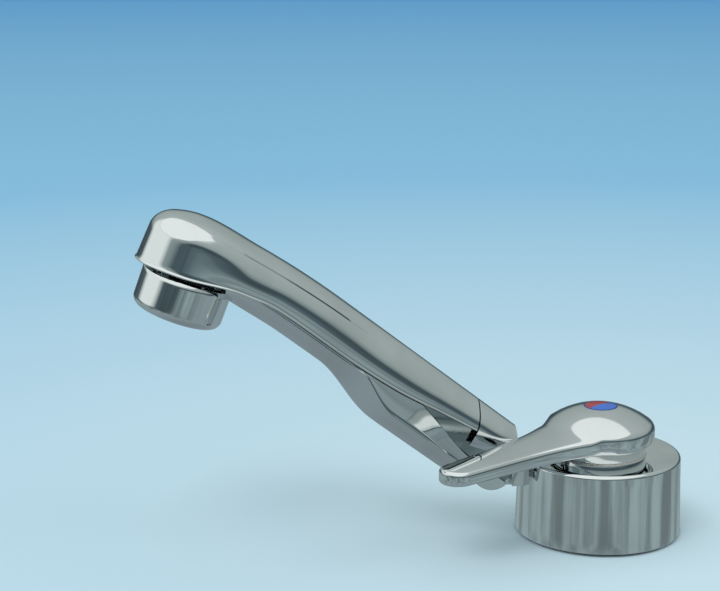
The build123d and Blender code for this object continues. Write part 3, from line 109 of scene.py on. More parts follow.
def newGroup(name, inputs, outputs):
    group = bpy.data.node_groups.new(name, "ShaderNodeTree")
    for label, kind, value in inputs:
        socket = group.interface.new_socket(label, in_out="INPUT", socket_type=kind)
        if value is not None:
            socket.default_value = value
    for label, kind in outputs:
        group.interface.new_socket(label, in_out="OUTPUT", socket_type=kind)
    return group, group.nodes.new("NodeGroupInput"), group.nodes.new("NodeGroupOutput")


def useGroup(tree, group, **values):
    node = tree.nodes.new("ShaderNodeGroup")
    node.node_tree = group
    for label, value in values.items():
        socket = node.inputs[label]
        if isinstance(value, (int, float)):
            socket.default_value = value
        elif isinstance(value, tuple):
            socket.default_value = (*value, 1)
        else:
            tree.links.new(value, socket)
    return node


surfaceSet = {
    "patchFrom": 0.45, "patchTo": 0.72, "patchDetail": 4, "filmValue": 0.9, "filmSaturation": 0.8,
    "grainFrom": 0.35, "grainTo": 0.68, "grainDetail": 5, "wearGain": 14.0, "wornLight": 1.15,
    "cloudFrom": 0.3, "cloudTo": 0.7, "metalCloud": 6, "metalSmoother": 0.06, "metalRougher": 0.08, "metalBump": 0.4,
    "plasticCloud": 8, "plasticSmoother": 0.05, "plasticRougher": 0.06, "plasticBump": 0.35,
}

# Finger smudges and dried water film: soft patches that lift the roughness and grey the colour a little
smudge, given, made = newGroup("smudge", (("Vector", "NodeSocketVector", None), ("Color", "NodeSocketColor", None),
                                          ("Low", "NodeSocketFloat", 0.05), ("High", "NodeSocketFloat", 0.12),
                                          ("Patch", "NodeSocketFloat", 60.0)),
                               (("Color", "NodeSocketColor"), ("Roughness", "NodeSocketFloat")))
patchNoise = smudge.nodes.new("ShaderNodeTexNoise")
patchNoise.inputs["Detail"].default_value = surfaceSet["patchDetail"]
smudge.links.new(given.outputs["Vector"], patchNoise.inputs["Vector"])
smudge.links.new(given.outputs["Patch"], patchNoise.inputs["Scale"])
patches = rangeNode(smudge, patchNoise.outputs["Fac"], surfaceSet["patchFrom"], surfaceSet["patchTo"], 0.0, 1.0)
smudge.links.new(rangeNode(smudge, patches, 0.0, 1.0, given.outputs["Low"], given.outputs["High"]),
                 made.inputs["Roughness"])
darker = smudge.nodes.new("ShaderNodeHueSaturation")
darker.inputs["Value"].default_value = surfaceSet["filmValue"]
darker.inputs["Saturation"].default_value = surfaceSet["filmSaturation"]
smudge.links.new(given.outputs["Color"], darker.inputs["Color"])
smudge.links.new(mixColor(smudge, patches, given.outputs["Color"], darker.outputs["Color"]), made.inputs["Color"])

# Fine grain of cast, turned or moulded surfaces, as bump height and a colour change
grain, given, made = newGroup("grain", (("Vector", "NodeSocketVector", None), ("Light", "NodeSocketColor", None),
                                        ("Dark", "NodeSocketColor", None), ("Size", "NodeSocketFloat", 900.0)),
                              (("Color", "NodeSocketColor"), ("Height", "NodeSocketFloat")))
fine = grain.nodes.new("ShaderNodeTexNoise")
fine.inputs["Detail"].default_value = surfaceSet["grainDetail"]
grain.links.new(given.outputs["Vector"], fine.inputs["Vector"])
grain.links.new(given.outputs["Size"], fine.inputs["Scale"])
spots = rangeNode(grain, fine.outputs["Fac"], surfaceSet["grainFrom"], surfaceSet["grainTo"], 0.0, 1.0)
grain.links.new(mixColor(grain, spots, given.outputs["Light"], given.outputs["Dark"]), made.inputs["Color"])
grain.links.new(fine.outputs["Fac"], made.inputs["Height"])

# Worn edges: 1 on ridges of the mesh, 0 elsewhere
edgeWear, given, made = newGroup("edgeWear", (("Sharpness", "NodeSocketFloat", 0.53),),
                                 (("Wear", "NodeSocketFloat"),))
geometry = edgeWear.nodes.new("ShaderNodeNewGeometry")
ridge = mathNode(edgeWear, "SUBTRACT", geometry.outputs["Pointiness"], given.outputs["Sharpness"])
edgeWear.links.new(mathNode(edgeWear, "MULTIPLY", ridge, surfaceSet["wearGain"], clamp=True), made.inputs["Wear"])


def objectCoordinates(tree):
    return tree.nodes.new("ShaderNodeTexCoord").outputs["Object"]


def addBump(tree, shader, height, strength, distance):
    bump = tree.nodes.new("ShaderNodeBump")
    bump.inputs["Strength"].default_value = strength
    bump.inputs["Distance"].default_value = distance
    tree.links.new(height, bump.inputs["Height"])
    tree.links.new(bump.outputs["Normal"], shader.inputs["Normal"])


# Roughness that changes in clouds over the surface, smoother here and rougher there
def cloudyRoughness(tree, shader, place, scale, roughness, smoother, rougher):
    clouds = rangeNode(tree, noiseNode(tree, place, scale), surfaceSet["cloudFrom"], surfaceSet["cloudTo"],
                       roughness - smoother, roughness + rougher)
    tree.links.new(clouds, shader.inputs["Roughness"])


# Finishes, one for each material slot of the record and one for the yoke, a darker chrome that paints shade into the
# arm's window
def polishedMetal(name, color, low, high, patch):
    material, tree, shader = newMaterial(name, color, 1.0, low)
    film = useGroup(tree, smudge, Vector=objectCoordinates(tree), Color=color, Low=low, High=high, Patch=patch)
    tree.links.new(film.outputs["Color"], shader.inputs["Base Color"])
    tree.links.new(film.outputs["Roughness"], shader.inputs["Roughness"])
    return material


def machinedMetal(name, light, dark, roughness, size, height):
    material, tree, shader = newMaterial(name, light, 1.0, roughness)
    place = objectCoordinates(tree)
    turned = useGroup(tree, grain, Vector=place, Light=light, Dark=dark, Size=size)
    worn = useGroup(tree, edgeWear)
    bare = tuple(min(1.0, surfaceSet["wornLight"] * c) for c in light)
    tree.links.new(mixColor(tree, worn.outputs["Wear"], turned.outputs["Color"], bare), shader.inputs["Base Color"])
    cloudyRoughness(tree, shader, place, size / surfaceSet["metalCloud"], roughness, surfaceSet["metalSmoother"],
                    surfaceSet["metalRougher"])
    addBump(tree, shader, turned.outputs["Height"], surfaceSet["metalBump"], height)
    return material


def mouldedPlastic(name, light, dark, roughness, size, height):
    material, tree, shader = newMaterial(name, light, 0.0, roughness)
    place = objectCoordinates(tree)
    skin = useGroup(tree, grain, Vector=place, Light=light, Dark=dark, Size=size)
    tree.links.new(skin.outputs["Color"], shader.inputs["Base Color"])
    cloudyRoughness(tree, shader, place, size / surfaceSet["plasticCloud"], roughness, surfaceSet["plasticSmoother"],
                    surfaceSet["plasticRougher"])
    addBump(tree, shader, skin.outputs["Height"], surfaceSet["plasticBump"], height)
    return material


# Polished metal: color, smooth and smudged roughness, smudge scale.
# The others: light and dark color, roughness, grain scale, bump height in metres.
finish = {
    "chrome": polishedMetal("polishedChrome", (0.80, 0.825, 0.83), 0.04, 0.085, 55.0),
    "cast_brass": machinedMetal("castBrass", (0.72, 0.55, 0.30), (0.50, 0.36, 0.18), 0.42, 1400.0, 0.00006),
    "plain_brass": machinedMetal("plainBrass", (0.83, 0.66, 0.36), (0.70, 0.53, 0.27), 0.26, 2200.0, 0.00002),
    "copper_pipe": machinedMetal("copperPipe", (0.84, 0.48, 0.32), (0.66, 0.33, 0.20), 0.30, 900.0, 0.00002),
    "stainless": machinedMetal("stainless", (0.66, 0.66, 0.65), (0.52, 0.52, 0.52), 0.30, 2600.0, 0.00001),
    "black_rubber": mouldedPlastic("blackRubber", (0.03, 0.03, 0.032), (0.018, 0.018, 0.019), 0.68, 2600.0, 0.00003),
    "white_plastic": mouldedPlastic("whitePlastic", (0.80, 0.80, 0.77), (0.74, 0.74, 0.70), 0.38, 1800.0, 0.00001),
    "grey_plastic": mouldedPlastic("greyPlastic", (0.36, 0.37, 0.38), (0.30, 0.31, 0.32), 0.45, 1800.0, 0.00001),
    "dark_plastic": mouldedPlastic("darkPlastic", (0.06, 0.062, 0.066), (0.042, 0.043, 0.046), 0.50, 1500.0, 0.00002),
    "ceramic": mouldedPlastic("ceramic", (0.86, 0.85, 0.82), (0.80, 0.79, 0.76), 0.16, 3000.0, 0.000002),
    "index_blue": mouldedPlastic("indexBody", (0.035, 0.075, 0.33), (0.028, 0.06, 0.28), 0.20, 1800.0, 0.000004),
    "index_red": mouldedPlastic("indexRed", (0.40, 0.026, 0.032), (0.35, 0.022, 0.028), 0.20, 1800.0, 0.000004),
    "index_cold_blue": mouldedPlastic("indexCold", (0.045, 0.155, 0.64), (0.038, 0.135, 0.57), 0.20, 1800.0, 0.000004),
    # darker copy of the chrome: painted shade on the yoke inside the arm's window
    "painted_shade_chrome": polishedMetal("paintedShadeChrome", (0.34, 0.395, 0.40), 0.06, 0.14, 70.0),   # yoke in the arm's window
}
for node, obj in nodes.items():
    obj.data.materials.clear()
    obj.data.materials.append(finish[slotOf[node]])
print("finishes made:", len(finish))


# Mesh helpers
def newPiece(name, body, slot, build, *replaced, sharpAngle=32.0):
    mesh = bpy.data.meshes.new(name)
    build.to_mesh(mesh)
    build.free()
    piece = bpy.data.objects.new(name, mesh)
    bpy.context.scene.collection.objects.link(piece)
    mesh.shade_smooth()
    mesh.set_sharp_from_angle(angle=math.radians(sharpAngle))
    mesh.materials.append(finish[slot])
    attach(piece, body)
    if replaced:
        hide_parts(*replaced)
    return piece


def weighNormals(piece, weight=90):
    weighted = piece.modifiers.new("weighNormals", "WEIGHTED_NORMAL")
    weighted.mode = "FACE_AREA_WITH_ANGLE"
    weighted.weight = weight
    weighted.keep_sharp = True


# The CAD node's own surface with its loose triangles joined, so that it shades as one smooth skin
def joinedCopy(node, name, sharpAngle=30):
    build = bmesh.new()
    build.from_mesh(nodes[node].data)
    bmesh.ops.remove_doubles(build, verts=build.verts, dist=cleanSet["merge"])
    bmesh.ops.dissolve_degenerate(build, edges=build.edges, dist=cleanSet["thin"])
    piece = newPiece(name, bodyOf[node], slotOf[node], build, node, sharpAngle=sharpAngle)
    weighNormals(piece)
    return piece


smoothNodes = {
    "collar_shell": "drumShell", "nozzle_housing": "nozzleRing", "hinge_bracket": "hingeTongue",
    "core_body": "brassCore", "collar_sleeve": "brassSleeve", "fixing_nut": "fixingNut",
    "backing_washer": "backingWasher", "backing_gasket": "backingGasket", "deck_gasket": "deckGasket",
    "hot_inlet": "hotTail", "cold_inlet": "coldTail", "hinge_spindle": "hingePin", "spout_tube": "innerTube",
    "outlet_elbow": "outletElbow", "aerator_insert": "aeratorInsert", "aerator_mesh": "aeratorMesh",
    "cover_screw": "coverScrew", "index_cap": "indexCap", "index_hot": "indexHot", "index_cold": "indexCold",
    "spindle_carrier": "spindleCarrier", "lever_spindle": "leverSpindle", "lever_screw": "leverScrew",
    "retaining_nut": "retainingNut", "spout_yoke": "spoutYoke",
}
for node, name in smoothNodes.items():
    piece = joinedCopy(node, name)
    # the yoke takes the darker chrome, painted shade for the arm's window
    if node == "spout_yoke":
        piece.data.materials[0] = finish["painted_shade_chrome"]
print("smooth skins:", len(smoothNodes))

# Lever handle: one skin of rings from its outline in to its spine, hollowed under the dome
leverSet = {
    "turn": -60.0, "headRadius": 18.2, "domeTop": 43.5, "sideTop": 37.0, "reach": 69.0, "tipRadius": 6.0,
    "rootReach": 12.3, "rootHalf": 13.4, "rearRelief": 1.9, "reliefFrom": 2.0, "reliefMargin": 3.0,
    "half": ((8.0, 16.0), (12.3, 13.4), (19.0, 11.2), (26.5, 9.3), (36.0, 7.9), (50.0, 6.75), (63.0, 6.0)),
    "top": ((-20.0, 30.0), (4.0, 40.6), (10.0, 40.3), (17.0, 38.5), (25.0, 36.9), (40.0, 35.7), (70.0, 34.3)),
    "fall": ((0.0, 5.0), (12.0, 3.9), (18.0, 2.3), (25.0, 1.2), (40.0, 0.7), (70.0, 0.5)),
    "under": ((-20.0, 31.0), (20.0, 31.0), (30.0, 30.75), (50.0, 30.15), (70.0, 29.6)),
    "upperRoll": 1.25, "lowerRoll": 0.7, "blend": 1.5, "rearStations": 44, "armStations": 40, "tipStations": 14,
    "upperTurns": (18, 36, 54, 72, 90), "upperShares": (0.12, 0.22, 0.32, 0.42, 0.52, 0.62, 0.72, 0.82, 0.92, 1.0),
    "lowerTurns": (30, 60, 90), "lowerShares": (0.3, 0.65, 1.0),
    "cornerFrom": 9, "cornerTo": 17, "cornerSide": 10, "cornerPasses": 6,
    "hollowRadius": 16.95, "hollowCrust": 1.8, "roofRadii": (9.0, 13.0), "bossRadius": 5.0, "bossLow": 31.5,
    "bossBore": 3.55, "seatRadius": 5.7, "seatDepth": 1.62, "overcut": 0.01, "toolLow": 29.0, "boreTop": 40.0,
    "seatTop": 50.0, "hollowSteps": 96, "bossSteps": 48,
}


# Smooth curve through rows of (place, value)
def curveAt(rows, x):
    x = min(max(x, rows[0][0]), rows[-1][0])
    k = max(i for i in range(len(rows) - 1) if rows[i][0] <= x)
    (x0, y0), (x1, y1) = rows[k], rows[k + 1]
    before, after = rows[max(k - 1, 0)], rows[min(k + 2, len(rows) - 1)]
    slope0 = (y1 - before[1]) / (x1 - before[0])
    slope1 = (after[1] - y0) / (after[0] - x0)
    t, span = (x - x0) / (x1 - x0), x1 - x0
    return ((2 * t**3 - 3 * t**2 + 1) * y0 + (t**3 - 2 * t**2 + t) * slope0 * span
            + (3 * t**2 - 2 * t**3) * y1 + (t**3 - t**2) * slope1 * span)


def domeRadius():
    rise = leverSet["domeTop"] - leverSet["sideTop"]
    return (leverSet["headRadius"] ** 2 + rise**2) / (2 * rise)


# The dome and the arm's top, joined by a soft valley
def leverTopAt(along, across):
    ball = domeRadius()
    dome = leverSet["domeTop"] - ball + math.sqrt(max(ball**2 - along**2 - across**2, 0.0))
    half = curveAt(leverSet["half"], along)
    arm = curveAt(leverSet["top"], along) - curveAt(leverSet["fall"], along) * (across / half) ** 2
    gap = max(leverSet["blend"] - abs(dome - arm), 0.0)
    return max(dome, arm) + gap**2 / (4 * leverSet["blend"])


def leverUnderAt(along):
    share = (leverSet["reliefFrom"] - along) / (leverSet["headRadius"] + leverSet["reliefMargin"])
    return curveAt(leverSet["under"], along) + leverSet["rearRelief"] * max(0.0, share)


# Station 0 is the middle of the rear, and the last is the tip; each side has the same stations
def leverStations():
    rows = []
    rootTurn = math.atan2(leverSet["rootHalf"], leverSet["rootReach"])
    for k in range(leverSet["rearStations"]):
        turn = math.pi + (rootTurn - math.pi) * k / leverSet["rearStations"]
        rows.append((leverSet["headRadius"] * math.cos(turn), leverSet["headRadius"] * math.sin(turn)))
    tipCentre = leverSet["reach"] - leverSet["tipRadius"]
    for k in range(leverSet["armStations"]):
        along = leverSet["rootReach"] + (tipCentre - leverSet["rootReach"]) * k / leverSet["armStations"]
        rows.append((along, curveAt(leverSet["half"], along)))
    for k in range(leverSet["tipStations"] + 1):
        turn = math.pi / 2 * (1 - k / leverSet["tipStations"])
        rows.append((tipCentre + leverSet["tipRadius"] * math.cos(turn), leverSet["tipRadius"] * math.sin(turn)))
    return rows


def makeLeverSkin():
    rows = leverStations()
    count = 2 * (len(rows) - 1)
    build = bmesh.new()
    station = build.verts.layers.int.new("station")
    bmesh.ops.create_circle(build, cap_ends=False, segments=count, radius=1.0)
    tipCentre = leverSet["reach"] - leverSet["tipRadius"]
    for vert in build.verts:
        vert[station] = round((math.pi - math.atan2(vert.co.y, vert.co.x)) / (2 * math.pi) * count) % count

    def outlineOf(vert):
        k = vert[station]
        along, across = rows[k] if k < len(rows) else rows[count - k]
        return along, (across if k < len(rows) else -across), min(max(along, 0.0), tipCentre)

    def placeRing(verts, inward, heightOf):
        for vert in verts:
            along, across, spine = outlineOf(vert)
            length = math.hypot(along - spine, across)
            share = 1 - min(inward(length) / length, 1.0)
            atAlong, atAcross = spine + (along - spine) * share, across * share
            vert.co = Vector((atAlong, atAcross, heightOf(atAlong, atAcross, along, across)))

    def nextRing(edges, inward, heightOf):
        grown = bmesh.ops.extrude_edge_only(build, edges=edges)["geom"]
        placeRing([e for e in grown if isinstance(e, bmesh.types.BMVert)], inward, heightOf)
        return [e for e in grown if isinstance(e, bmesh.types.BMEdge)]

    roll, foot = leverSet["upperRoll"], leverSet["lowerRoll"]
    placeRing(build.verts, lambda length: 0.0, lambda u, v, a, b: leverTopAt(a, b) - roll)
    rim = list(build.edges)
    edges = rim
    for step in leverSet["upperTurns"]:
        turn = math.radians(step)
        edges = nextRing(edges, lambda length: roll * (1 - math.cos(turn)),
                         lambda u, v, a, b: leverTopAt(u, v) - roll * (1 - math.sin(turn)))
    for share in leverSet["upperShares"]:
        edges = nextRing(edges, lambda length: roll + (length - roll) * share, lambda u, v, a, b: leverTopAt(u, v))
    edges = nextRing(rim, lambda length: 0.0,
                     lambda u, v, a, b: (leverTopAt(a, b) - roll + leverUnderAt(a) + foot) / 2)
    edges = nextRing(edges, lambda length: 0.0, lambda u, v, a, b: leverUnderAt(a) + foot)
    for step in leverSet["lowerTurns"]:
        turn = math.radians(step)
        edges = nextRing(edges, lambda length: foot * (1 - math.cos(turn)),
                         lambda u, v, a, b: leverUnderAt(u) + foot * (1 - math.sin(turn)))
    for share in leverSet["lowerShares"]:
        edges = nextRing(edges, lambda length: foot + (length - foot) * share, lambda u, v, a, b: leverUnderAt(u))
    bmesh.ops.remove_doubles(build, verts=build.verts, dist=cleanSet["leverMerge"])
    corner = [v for v in build.verts
              if leverSet["cornerFrom"] < v.co.x < leverSet["cornerTo"] and abs(v.co.y) > leverSet["cornerSide"]]
    for turn in range(leverSet["cornerPasses"]):        # eases the corner where the arm leaves the head
        bmesh.ops.smooth_vert(build, verts=corner, factor=0.5, use_axis_x=True, use_axis_y=True, use_axis_z=False)
    bmesh.ops.recalc_face_normals(build, faces=build.faces)
    return build


# A turned solid from a closed profile of (radius, height) corners
def turnedSolid(profile, steps=128):
    build = bmesh.new()
    corners = [build.verts.new((radius, 0, height)) for radius, height in profile]
    for first, second in zip(corners, corners[1:]):
        build.edges.new((first, second))
    bmesh.ops.spin(build, geom=list(build.verts) + list(build.edges), cent=(0, 0, 0), axis=(0, 0, 1),
                   angle=2 * math.pi, steps=steps, use_merge=True, use_normal_flip=False)
    bmesh.ops.remove_doubles(build, verts=build.verts, dist=cleanSet["turnedMerge"])
    bmesh.ops.recalc_face_normals(build, faces=build.faces)
    return build


def leverMatrix():
    return Matrix.Rotation(math.radians(leverSet["turn"]), 4, "Z") @ Matrix.Diagonal((mm, mm, mm, 1.0))


# Takes the tool's space out of a piece and removes the tool
def cutWith(piece, build, name, place=None):
    bmesh.ops.transform(build, matrix=place or leverMatrix(), verts=build.verts)
    mesh = bpy.data.meshes.new(name)
    build.to_mesh(mesh)
    build.free()
    tool = bpy.data.objects.new(name, mesh)
    bpy.context.scene.collection.objects.link(tool)
    cut = piece.modifiers.new(name, "BOOLEAN")
    cut.operation = "DIFFERENCE"
    cut.solver = "EXACT"
    cut.object = tool
    graph = bpy.context.evaluated_depsgraph_get()
    made = bpy.data.meshes.new_from_object(piece.evaluated_get(graph), depsgraph=graph)
    piece.modifiers.remove(cut)
    old = piece.data
    piece.data = made
    bpy.data.meshes.remove(old)
    bpy.data.objects.remove(tool)


def makeLever():
    build = makeLeverSkin()
    bmesh.ops.transform(build, matrix=leverMatrix(), verts=build.verts)
    lever = newPiece("leverHandle", "lever", "chrome", build, "lever_handle", sharpAngle=40.0)
    ball, low, wide = domeRadius(), leverSet["toolLow"], leverSet["hollowRadius"]
    boss, bore = leverSet["bossRadius"], leverSet["bossBore"]
    ceiling, centre = ball - leverSet["hollowCrust"], leverSet["domeTop"] - ball
    roof = [(r, centre + math.sqrt(ceiling**2 - r**2)) for r in (boss, *leverSet["roofRadii"], wide)]
    cutWith(lever, turnedSolid([(boss, low)] + roof + [(wide, low), (boss, low)], leverSet["hollowSteps"]), "hollow")
    outer, foot, top = boss + leverSet["overcut"], leverSet["bossLow"], leverSet["boreTop"]
    cutWith(lever, turnedSolid([(0, low), (outer, low), (outer, foot), (bore, foot), (bore, top), (0, top)],
                               leverSet["bossSteps"]), "bossEnd")
    seat, rim, high = leverSet["domeTop"] - leverSet["seatDepth"], leverSet["seatRadius"], leverSet["seatTop"]
    cutWith(lever, turnedSolid([(0, seat), (rim, seat), (rim, high), (0, high)], leverSet["hollowSteps"]), "indexSeat")
    lever.data.set_sharp_from_angle(angle=math.radians(40))


makeLever()
print("lever made")

# Spout arm: the upper cover is one skin from the seam, along the arm and round the head
armSet = {
    "slope": 37.75, "topLine": 11.8, "bendStart": 118.0, "bendRadius": 290.0, "wall": 1.5,
    "rootStation": 50.0, "tipStation": 165.0, "rootHalf": 7.6, "tipHalf": 14.3, "planPower": 1.4,
    "crown": ((38.0, 1.6), (50.0, 2.3), (70.0, 2.7), (98.0, 3.0), (128.0, 3.2), (152.0, 3.2)),
    "flankFrom": ((38.0, 54.0), (60.0, 54.0), (98.0, 50.0), (116.0, 41.0), (150.0, 36.0)), "flankTo": -9.0,
    "parting": ((50.0, 4.4), (72.0, 1.6), (88.0, -0.6), (105.0, -1.5), (138.0, -1.9), (150.0, -4.3)),
    "seam": ((-0.7, 57.5), (4.9, 58.4), (12.6, 62.6)), "seamGap": 0.5, "first": 58.0, "last": 150.0, "fade": 20.0,
    "groove": ((104.0, 0.0), (114.0, 0.5), (150.0, 0.6)), "grooveHalf": 0.3, "grooveFoot": 0.3, "grooveEnd": (0.5, 0.8),
    "lip": ((0.0, -0.12), (0.16, 0.2), (0.42, 0.36), (0.62, 0.24), (0.84, 0.06), (1.1, 0.0)),
    "crownSteps": 13, "flankSteps": 15, "armRings": 46, "blendRings": 12,
}
headSet = {
    "tilt": 20.5, "centre": (-138.42, 92.6), "height": 19.5, "radius": 15.05, "crown": (7.9, 1.2),
    "shoulder": (14.4, 7.7), "crownTurn": 17.3, "sideTurn": 85.1, "split": 52.0, "scoop": 0.9,
    "crownPoints": 8, "turnedPoints": 7, "turnRings": 18,
}


def stepUp(along, low, high):
    t = min(max((along - low) / (high - low), 0.0), 1.0)
    return t * t * (3 - 2 * t)


# A point of the slanted arm: side offset, distance along the slope and height over it
def armPoint(x, along, over):
    slope = math.radians(armSet["slope"])
    return Vector((x, -(along * math.cos(slope) - over * math.sin(slope)),
                   along * math.sin(slope) + over * math.cos(slope)))


def armHalf(along):
    share = max(0.0, (armSet["tipStation"] - along) / (armSet["tipStation"] - armSet["rootStation"]))
    return armSet["tipHalf"] - (armSet["tipHalf"] - armSet["rootHalf"]) * share ** armSet["planPower"]


# Half a cross-section from the crest to the lower edge: crown, fine groove, rounded flank and rolled lip
def coverHalf(half, crown, flankFrom, bottom, groove, lip=1.0):
    high, low = math.radians(flankFrom), math.radians(armSet["flankTo"])
    bulge = (bottom - crown) / (math.sin(high) - math.sin(low))
    edge = half - bulge * (1 - math.cos(high))
    rows = []
    for k in range(armSet["crownSteps"] + 1):
        x = (edge - armSet["grooveHalf"]) * k / armSet["crownSteps"]
        rows.append((x, -crown * (x / edge) ** 2))
    rows.append((edge - armSet["grooveFoot"] * armSet["grooveHalf"], -crown - groove))
    lipAngle = armSet["lip"][-1][0] / bulge
    for k in range(armSet["flankSteps"] + 1):
        start = high - armSet["grooveHalf"] / bulge
        turn = start + (low + lipAngle - start) * k / armSet["flankSteps"]
        rows.append((half - bulge * (1 - math.cos(turn)), -crown - bulge * (math.sin(high) - math.sin(turn))))
    for rise, out in armSet["lip"][-2::-1]:
        turn = low + rise / bulge
        rows.append((half - bulge * (1 - math.cos(turn)) + lip * out,
                     -crown - bulge * (math.sin(high) - math.sin(turn))))
    return rows


# The head's half profile, in as many points as the arm's
def headHalf():
    crownX, crownDrop = headSet["crown"]
    sideX, sideDrop = headSet["shoulder"]
    begin, end = math.radians(headSet["crownTurn"]), math.radians(headSet["sideTurn"])

    def shoulderAt(turn):
        return (crownX + (sideX - crownX) * (math.sin(turn) - math.sin(begin)) / (math.sin(end) - math.sin(begin)),
                -crownDrop - (sideDrop - crownDrop) * (math.cos(begin) - math.cos(turn))
                / (math.cos(begin) - math.cos(end)))

    split, flat, turned = math.radians(headSet["split"]), headSet["crownPoints"], headSet["turnedPoints"]
    rows = [(crownX * k / flat, -crownDrop * (k / flat) ** 2) for k in range(flat)]
    left = armSet["crownSteps"] + 1 - flat
    rows += [shoulderAt(begin + (split - begin) * k / left) for k in range(left + 1)]
    low = armSet["lip"][-1][0] - headSet["height"]
    rows += [shoulderAt(split + (end - split) * (k + 0.5) / turned) for k in range(turned)]
    sideCount = armSet["flankSteps"] + 1 - turned
    for k in range(sideCount):
        share = (k + 0.6) / (sideCount - 0.4)
        rows.append((sideX + (headSet["radius"] - sideX) * share, -sideDrop + (low + sideDrop) * share))
    rows += [(headSet["radius"] + out, rise - headSet["height"]) for rise, out in armSet["lip"][-2::-1]]
    return rows


def bothSides(half):
    return [(-x, y) for x, y in half[:0:-1]] + half


# Extrudes one chain of edges ring by ring, so that each ring takes the places given to it
def chainSkin(rings):
    build = bmesh.new()
    order = build.verts.layers.int.new("order")
    verts = [build.verts.new(place) for place in rings[0]]
    for index, vert in enumerate(verts):
        vert[order] = index
    edges = [build.edges.new(pair) for pair in zip(verts, verts[1:])]
    for ring in rings[1:]:
        grown = bmesh.ops.extrude_edge_only(build, edges=edges)["geom"]
        edges = [e for e in grown if isinstance(e, bmesh.types.BMEdge)]
        for vert in (e for e in grown if isinstance(e, bmesh.types.BMVert)):
            vert.co = ring[vert[order]]
    bmesh.ops.remove_doubles(build, verts=build.verts, dist=cleanSet["skinMerge"])
    return build


# A cover's section at a station; the seam's curve moves the first stations of each height
def coverRing(along, half, bottomOver, seamShift, lip=1.0, skirt=0.0):
    droop = max(0.0, along - armSet["bendStart"]) ** 2 / (2 * armSet["bendRadius"])
    tip = -max(0.0, along - armSet["bendStart"]) / armSet["bendRadius"]
    top = armSet["topLine"] - droop
    bottom = top - bottomOver
    rows = coverHalf(half, curveAt(armSet["crown"], along), curveAt(armSet["flankFrom"], along), bottom,
                     curveAt(armSet["groove"], along), lip)
    foot = len(armSet["lip"]) - 1
    rows = rows[:-foot] + [(x, y - skirt * (k + 1) / foot) for k, (x, y) in enumerate(rows[-foot:])]
    ring = []
    for x, y in bothSides(rows):
        over = top + y * math.cos(tip)
        reach = along - y * math.sin(tip)
        ring.append(armPoint(x, seamShift(reach, over), over))
    return ring


def coverSeamShift(reach, over):
    fade = max(0.0, 1 - (reach - armSet["first"]) / armSet["fade"])
    return reach + (curveAt(armSet["seam"], over) + armSet["seamGap"] / 2 - armSet["first"]) * fade


# The head's own axes: up through its top, and out past the nozzle
def headAxes():
    tilt = math.radians(headSet["tilt"])
    return Vector((0, math.sin(tilt), math.cos(tilt))), Vector((0, -math.cos(tilt), math.sin(tilt)))


def headRing(turn):
    sideways, (up, out) = Vector((1, 0, 0)), headAxes()
    top = Vector((0, *headSet["centre"])) + up * headSet["height"]
    ring = []
    for x, y in bothSides(headHalf()):
        low = max(0.0, (-y - headSet["shoulder"][1]) / (headSet["height"] - headSet["shoulder"][1]))
        rise = headSet["scoop"] * math.cos(turn) ** 2 * low
        ring.append(top + sideways * (x * math.cos(turn)) + out * (abs(x) * math.sin(turn)) + up * (y + rise))
    return ring


def makeCover():
    rings = []
    for k in range(armSet["armRings"] + 1):
        along = armSet["first"] + (armSet["last"] - armSet["first"]) * k / armSet["armRings"]
        rings.append(coverRing(along, armHalf(along), curveAt(armSet["parting"], along), coverSeamShift))
    end, before, head = rings[-1], rings[-2], headRing(0.0)
    pitch = (armSet["last"] - armSet["first"]) / armSet["armRings"]
    up, out = headAxes()
    grooves = [len(end) // 2 - armSet["crownSteps"] - 1, len(end) // 2 + armSet["crownSteps"] + 1]
    for k in range(1, armSet["blendRings"]):
        t = k / armSet["blendRings"]
        ring = []
        for a, b, c in zip(before, end, head):
            reach = (c - b).length
            leave, arrive = (b - a) * (reach / pitch), out * reach
            ring.append(b * (2 * t**3 - 3 * t**2 + 1) + leave * (t**3 - 2 * t**2 + t) + c * (3 * t**2 - 2 * t**3)
                        + arrive * (t**3 - t**2))
        for g in grooves:                        # the groove runs on until just before the head
            depth = end[g] - (end[g - 1] + end[g + 1]) / 2
            ring[g] += depth * (1 - stepUp(t, *armSet["grooveEnd"]) - (2 * t**3 - 3 * t**2 + 1))
        rings.append(ring)
    for k in range(headSet["turnRings"] + 1):
        rings.append(headRing(math.pi / 2 * k / headSet["turnRings"]))
    build = chainSkin(rings)
    bmesh.ops.recalc_face_normals(build, faces=build.faces)
    bmesh.ops.scale(build, verts=build.verts, vec=(mm, mm, mm))
    cover = newPiece("spoutCover", "spout", "chrome", build, "upper_cover", sharpAngle=44.0)
    addWall(cover, armSet["wall"])


# Gives a skin its wall on the inner side, as part of its mesh, with crisp rims
def addWall(piece, thickness, sharpAngle=40.0):
    wall = piece.modifiers.new("wall", "SOLIDIFY")
    wall.thickness = thickness * mm
    wall.offset = -1.0
    wall.use_even_offset = True
    wall.thickness_clamp = 0.6
    graph = bpy.context.evaluated_depsgraph_get()
    made = bpy.data.meshes.new_from_object(piece.evaluated_get(graph), depsgraph=graph)
    old = piece.data
    piece.modifiers.clear()
    piece.data = made
    bpy.data.meshes.remove(old)
    made.shade_smooth()
    made.set_sharp_from_angle(angle=math.radians(sharpAngle))


makeCover()
print("upper cover made")

